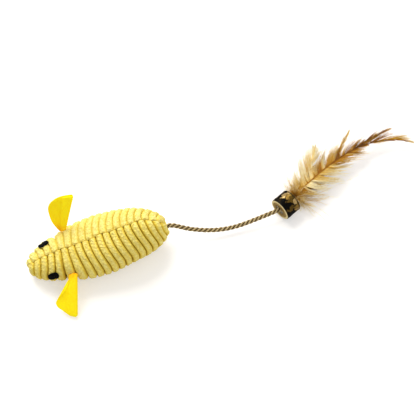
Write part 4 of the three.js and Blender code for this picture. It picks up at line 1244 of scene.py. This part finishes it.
# %% Four feathers
RACHIS_STEPS = 18
FAN_OUT = 9 * MM
QUILL_RADIUS = 0.4 * MM
BARB_STEPS = 10
BARB_SEAT = 0.22 * MM
CLUMP_SIZE = 2.3 * MM
STRAY_SHARE = 0.2
THINNING = 1.4
FEATHERS = {
    "feather_long": {
        "quill": {"length": 107, "heading": 4, "curl": -57, "curl_power": 2.3,
                  "seat": 2.4, "spread": 2.4, "sag": -6},
        "width": 19, "bare": 0.03, "spacing": 0.17, "seed": 41,
        "left_shares": [0.5, 0.72, 0.74, 0.66, 0.52, 0.38, 0.26, 0.2, 0.16, 0.12, 0.06],
        "right_shares": [0.74, 0.92, 0.82, 0.66, 0.5, 0.34, 0.16, 0.09, 0.07, 0.07, 0.05],
        "lean": [56, 54, 45, 35, 28, 23, 18, 15, 14, 12, 9],
        "tones": [0.3, 0.14, 0.18, 0.28, 0.38, 0.46, 0.52, 0.52, 0.46, 0.36, 0.24], "edge_tone": 0.0,
        "shaft_tones": [0.5, 0.56, 0.7, 0.88, 0.9, 0.66],
    },
    "feather_long_second": {
        "quill": {"length": 96, "heading": 4.2, "curl": -16, "curl_power": 1.2,
                  "seat": 1.2, "spread": 2.2, "sag": -5},
        "width": 12, "bare": 0.1, "spacing": 0.19, "seed": 42,
        "left_shares": [0.6, 0.9, 0.8, 0.56, 0.42, 0.36, 0.3, 0.24, 0.18, 0.12, 0.06],
        "right_shares": [0.8, 1.0, 0.8, 0.5, 0.32, 0.24, 0.18, 0.14, 0.1, 0.06, 0.03],
        "lean": [48, 42, 34, 28, 24, 21, 18, 15, 13, 11, 8],
        "tones": [0.2, 0.2, 0.24, 0.3, 0.4, 0.52, 0.58, 0.56, 0.5, 0.4, 0.3], "edge_tone": 0.0,
        "shaft_tones": [0.5, 0.7, 1.0, 1.0, 0.8, 0.5],
    },
    "feather_curved": {
        "quill": {"length": 72, "heading": -0.6, "curl": 22.7, "curl_power": 1,
                  "seat": 0, "spread": 0.4, "sag": -2},
        "width": 13, "bare": 0.08, "spacing": 0.19, "seed": 43,
        "left_shares": [0.6, 0.95, 0.95, 0.8, 0.5, 0.3, 0.2, 0.15, 0.12, 0.1, 0.06],
        "right_shares": [0.6, 0.8, 0.7, 0.5, 0.3, 0.2, 0.15, 0.12, 0.1, 0.08, 0.06],
        "lean": [50, 46, 40, 34, 28, 22, 18, 15, 12, 9, 7],
        "tones": [0.2, 0.22, 0.3, 0.38, 0.42, 0.44, 0.42, 0.36, 0.28, 0.2, 0.14], "edge_tone": 0.02,
        "shaft_tones": [0.4, 0.5, 0.56, 0.5, 0.4, 0.3],
    },
    "feather_short": {
        "quill": {"length": 48, "heading": 22, "curl": 19, "curl_power": 2.2,
                  "seat": -1.2, "spread": -0.8, "sag": -0.6},
        "width": 11, "bare": 0.06, "spacing": 0.13, "seed": 44,
        "left_shares": [0.8, 1, 1, 0.95, 0.85, 0.75, 0.65, 0.5, 0.4, 0.3, 0.15],
        "right_shares": [0.6, 0.8, 0.9, 0.9, 0.85, 0.75, 0.6, 0.45, 0.35, 0.25, 0.12],
        "lean": [52, 48, 42, 36, 30, 25, 20, 16, 12, 9, 7],
        "tones": [0.24, 0.2, 0.16, 0.12, 0.1, 0.1, 0.08, 0.06, 0.04, 0.04, 0.04], "edge_tone": 0.02,
        "shaft_tones": [0.3, 0.24, 0.14, 0.1],
    },
}


def quill_line(length, heading, curl, curl_power, seat, spread, sag, steps=120):
    """The quill's middle line in the bead's own frame: short strides whose heading turns by the curl, at a
    height that rises out of the binding and then sinks with the square of the distance."""
    share = np.linspace(0, 1, steps + 1)
    angle = np.radians(heading + curl * (share + 0.5 / RACHIS_STEPS) ** curl_power)
    stride = length / steps * MM
    x = BINDING_END + 0.3 * MM + stride * np.concatenate([[0], np.cumsum(np.cos(angle[:-1]))])
    y = stride * np.concatenate([[0], np.cumsum(np.sin(angle[:-1]))])
    distance = np.hypot(x - x[0], y)
    z = seat + spread * smoothstep(distance, 0, FAN_OUT) + sag * (distance / (length * MM)) ** 2
    return np.stack([x, y, z * MM], axis=-1), angle


def strand_values(values, sides=3):
    """Spreads values for each strand and step over the points that strands() makes."""
    return np.concatenate([np.repeat(values[:, :-1], sides, axis=1), values[:, -1:]], axis=1).ravel()


def clump_of(share, side, length, random):
    """A number for the clump that each barb belongs to: stretches along each side of the quill, with
    ragged borders, because a few barbs always stray to the next clump."""
    way = share * (1 - 0.32 * share) * length / CLUMP_SIZE
    uneven = way + 0.36 * np.sin(2.1 * way + 1.3 * side)
    strayed = uneven + 0.5 * (side > 0) + 0.12 * random.normal(size=len(share))
    number = np.floor(strayed).astype(int) * 2 + (side > 0)
    return number - number.min()


def feather_parts(quill, width, bare, spacing, seed, left_shares, right_shares, lean, tones, edge_tone,
                  shaft_tones):
    """The quill and its barbs, as points, faces and tones. A barb starts on the quill and bends from its
    lean towards the quill's own heading. How far it reaches aside is read off a table for its side, and
    it never reaches far past the quill's tip. Long barbs droop, with the square of the way along them."""
    random = np.random.default_rng(seed)
    line, angle = quill_line(**quill)
    length = quill["length"] * MM
    count = int(length * (1 - bare) / (spacing * MM))
    part = np.tile((np.arange(count) + random.uniform(0, 1, count)) / count, 2).clip(0, 0.995) ** THINNING
    side = np.repeat([-1.0, 1.0], count)
    share = bare + (1 - bare) * part
    step = share * (len(line) - 1)
    root = np.stack([np.interp(step, np.arange(len(line)), line[:, axis]) for axis in range(3)], axis=-1)
    root[:, 2] -= BARB_SEAT
    heading = np.interp(step, np.arange(len(angle)), angle)[:, None]
    clump = clump_of(share, side, length, random)
    moods = random.normal(size=(clump.max() + 1, 4)).clip(-1.7, 1.7)[clump]
    middle = (np.bincount(clump, share) / np.maximum(np.bincount(clump), 1))[clump]
    lean_angle = np.radians(follow(lean, part) + 8 * moods[:, 0] * (1 - 0.5 * part))
    vane = width * MM * np.where(side > 0, follow(left_shares, part), follow(right_shares, part))
    reach = vane / np.sin(np.maximum(lean_angle, 0.14)) * (0.9 + 0.18 * moods[:, 1])
    reach *= random.uniform(0.62, 1.1, len(reach))
    stray = (random.uniform(0, 1, len(reach)) < STRAY_SHARE) * 0.5
    lean_angle += stray * random.uniform(0.06, 0.26, len(reach))
    reach = np.clip(reach * (1 + 0.25 * stray), 2.5 * MM, (1 - share) * length * 0.8 + 1.5 * MM)
    u = np.linspace(0, 1, BARB_STEPS)[None]
    own = heading + side[:, None] * lean_angle[:, None] * (1.3 - 0.8 * u)
    own = own + random.normal(0, 0.03, (len(side), 1)) * u * 2
    stride = (reach / (BARB_STEPS - 1))[:, None]
    x = np.concatenate([0 * stride, np.cumsum(np.cos(own[:, :-1]) * stride, axis=1)], axis=1)
    y = np.concatenate([0 * stride, np.cumsum(np.sin(own[:, :-1]) * stride, axis=1)], axis=1)
    gather = 0.92 - 0.3 * smoothstep(part, 0.35, 0.6)
    pull = ((middle - share) * length * gather * (1 - stray))[:, None] * u**1.2
    x += pull * np.cos(heading)
    y += pull * np.sin(heading)
    rise = (0.5 * moods[:, 2] + random.normal(0, 0.4, len(side)))[:, None] * MM
    z = rise * u**1.5 - (reach[:, None] / (20 * MM)) ** 2 * 3.5 * MM * u**2
    lines = root[:, None] + np.stack([x, y, z], axis=-1)
    radii = (0.125 - 0.09 * u) * MM * random.uniform(0.7, 1.2, (len(side), 1))
    tone = follow(tones, part)[:, None] + 0.15 * moods[:, 3:4]
    edge = (side < 0) * edge_tone * smoothstep(part, 0.5, 0.7) * smoothstep(part, 0.97, 0.8)
    tone = tone + edge[:, None]
    tone = tone + 0.2 - 0.42 * u + random.normal(0, 0.06, (len(side), 1))
    shaft = (QUILL_RADIUS * (1 - 0.8 * np.linspace(0, 1, len(line)) ** 2.4))[None]
    parts = join(strands(line[None], shaft, sides=8), strands(lines, radii))
    shaft_tone = follow(shaft_tones, np.linspace(0, 1, len(line)))[None]
    values = np.concatenate([strand_values(shaft_tone, 8), strand_values(tone)])
    return (*parts, values)


def make_feather(name):
    """Cream, gold and brown keratin with a soft gloss, by the tone that the mesh keeps."""
    return clouded_finish(name, [
        (0.0, (250, 238, 194)), (0.18, (236, 208, 126)), (0.38, (198, 148, 44)), (0.56, (158, 98, 8)),
        (0.78, (94, 48, 2)), (1.0, (46, 18, 0)),
    ], [((186, 138, 60), 300, 2400, 0.24)], kept="tone", Roughness=0.6, Specular_IOR_Level=0.15)


feather_finishes = {slot: make_feather(slot) for slot in ("feather_golden", "feather_dark", "feather_cream")}
feather_slots = {"feather_long": "feather_golden", "feather_curved": "feather_golden",
                 "feather_long_second": "feather_dark", "feather_short": "feather_cream"}


def add_barbed(name, points, faces, tones, slot, node):
    """Adds a piece made of strands to the charm, kept above the floor."""
    places = points @ bead_axes + bead_origin
    places[:, 2] = np.maximum(places[:, 2], 0.1 * MM)
    finish = feather_finishes[slot]
    return add_piece(name, places, faces, finish, slot, "charm", [node], values={"tone": tones})


for name, sizes in FEATHERS.items():
    add_barbed("barbed_" + name, *feather_parts(**sizes), feather_slots[name], name)

# %% [markdown]
# Down has no flat vane: its barbs stand out all round a thin soft shaft and curl. The spray under the
# feathers and the tuft on top of the binding are both many such plumes, which start at one place and part
# in a fan. A plume's shaft is a line with a random bend, and its barbs leave it at a slant all round.

# %% Down
PLUME_STEPS = 14
DOWN_BARB_STEPS = 6
SPRAY_PLUMES = 46
TUFT_PLUMES = 54
SPRAY_FIRST = -95
SPRAY_LAST = 76


def plumes(root, ways, reaches, barbs_each, barb_reach, seed, tone, sink=0.0):
    """Shafts and barbs of several plumes, as points, faces and tones."""
    random = np.random.default_rng(seed)
    count = len(ways)
    share = np.linspace(0, 1, PLUME_STEPS)[None, :, None]
    bend = random.normal(0, 0.24, (count, 1, 3)) * [1, 1, 0.6] - [0, 0, sink]
    reach = reaches[:, None, None]
    lines = root[:, None] + reach * (share * ways[:, None] + share**2 * bend)
    spots = np.sort(random.uniform(0.06, 0.97, (count, barbs_each)), axis=1)[..., None]
    base = root[:, None] + reach * (spots * ways[:, None] + spots**2 * bend)
    tangent = unit(ways[:, None] + 2 * spots * bend)
    aside = unit(np.cross(tangent, random.normal(size=tangent.shape)) + [0, 0, 1e-6])
    slant = np.radians(random.uniform(16, 44, spots.shape))
    own = barb_reach * (1.15 - spots) ** 0.6 * random.uniform(0.6, 1.25, spots.shape)
    u = np.linspace(0, 1, DOWN_BARB_STEPS)[:, None]
    way = (tangent * np.cos(slant) + aside * np.sin(slant))[:, :, None]
    curl = unit(random.normal(size=tangent.shape))[:, :, None]
    curl = curl * random.uniform(0, 0.3, spots.shape)[..., None]
    barbs = (base[:, :, None] + own[:, :, None] * (u * way + u**2 * curl)).reshape(-1, DOWN_BARB_STEPS, 3)
    shaft_radii = (0.12 - 0.1 * share[..., 0]) * MM * np.ones((count, 1))
    barb_radii = (0.05 - 0.034 * u[:, 0])[None] * MM * np.ones((len(barbs), 1))
    mood = random.normal(0, 0.08, (count, 1, 1))
    shaft_tone = tone * (1 - share[..., 0]) + 0.1 + mood[..., 0]
    fluff_tone = (tone * (1 - spots) + mood + random.normal(0, 0.05, spots.shape)).reshape(-1, 1)
    fluff_tone = fluff_tone - 0.06 * u[:, 0][None]
    values = np.concatenate([strand_values(shaft_tone), strand_values(fluff_tone)])
    return (*join(strands(lines, shaft_radii), strands(barbs, barb_radii)), values)


def way_of(heading, rise):
    """Unit vectors in the bead's frame from headings and rises in degrees."""
    heading = np.radians(heading)
    rise = np.radians(rise) + 0 * heading
    return np.stack([np.cos(heading) * np.cos(rise), np.sin(heading) * np.cos(rise), np.sin(rise)], axis=-1)


random = np.random.default_rng(51)
fan = np.linspace(SPRAY_FIRST, SPRAY_LAST, SPRAY_PLUMES) + random.normal(0, 3, SPRAY_PLUMES)
aside = (fan - (SPRAY_FIRST + SPRAY_LAST) / 2) * 180 / (SPRAY_LAST - SPRAY_FIRST)
reaches = 15 + 27 * np.cos(np.radians(aside)) ** 2
reaches *= random.uniform(0.65, 1.0, SPRAY_PLUMES) * MM
root = np.array([[BINDING_END - 0.5 * MM, 0, -1.6 * MM]]) + 0.4 * MM * random.normal(size=(SPRAY_PLUMES, 3))
add_barbed("spray_of_down", *plumes(root, way_of(fan, -4), reaches, barbs_each=46,
                                     barb_reach=7 * MM, seed=52, tone=0.34),
           "feather_cream", "feather_downy")

around = np.linspace(-104, 104, TUFT_PLUMES) + random.normal(0, 5, TUFT_PLUMES)
rise = random.uniform(8, 60, TUFT_PLUMES)
root = np.array([[BINDING_END - 1.2 * MM, 0, 2.0 * MM]]) + 0.5 * MM * random.normal(size=(TUFT_PLUMES, 3))
reaches = random.uniform(6, 13.5, TUFT_PLUMES) * MM
add_barbed("tuft_of_down", *plumes(root, way_of(around, rise), reaches, barbs_each=22,
                                    barb_reach=3.4 * MM, seed=53, tone=0.6, sink=0.1),
           "feather_cream", "down_tuft")

# %% [markdown]
# One model piece stays as it is: the knot that anchors the twine inside the tail, which nothing opens. It
# gets the hemp's colours, worked out from the noise alone because its mesh keeps no lay of its own.

# %% The anchor knot
knotted_hemp = clouded_finish("knotted_hemp", (176, 152, 102), [((98, 74, 38), 520, 3000, 0.8)],
                              relief=0.2 * MM, strength=0.8, Roughness=0.85)
knot = frame["nodes"]["tail_anchor_knot"]
knot.data.materials.clear()
knot.data.materials.append(knotted_hemp)
print("The knot keeps its own mesh")
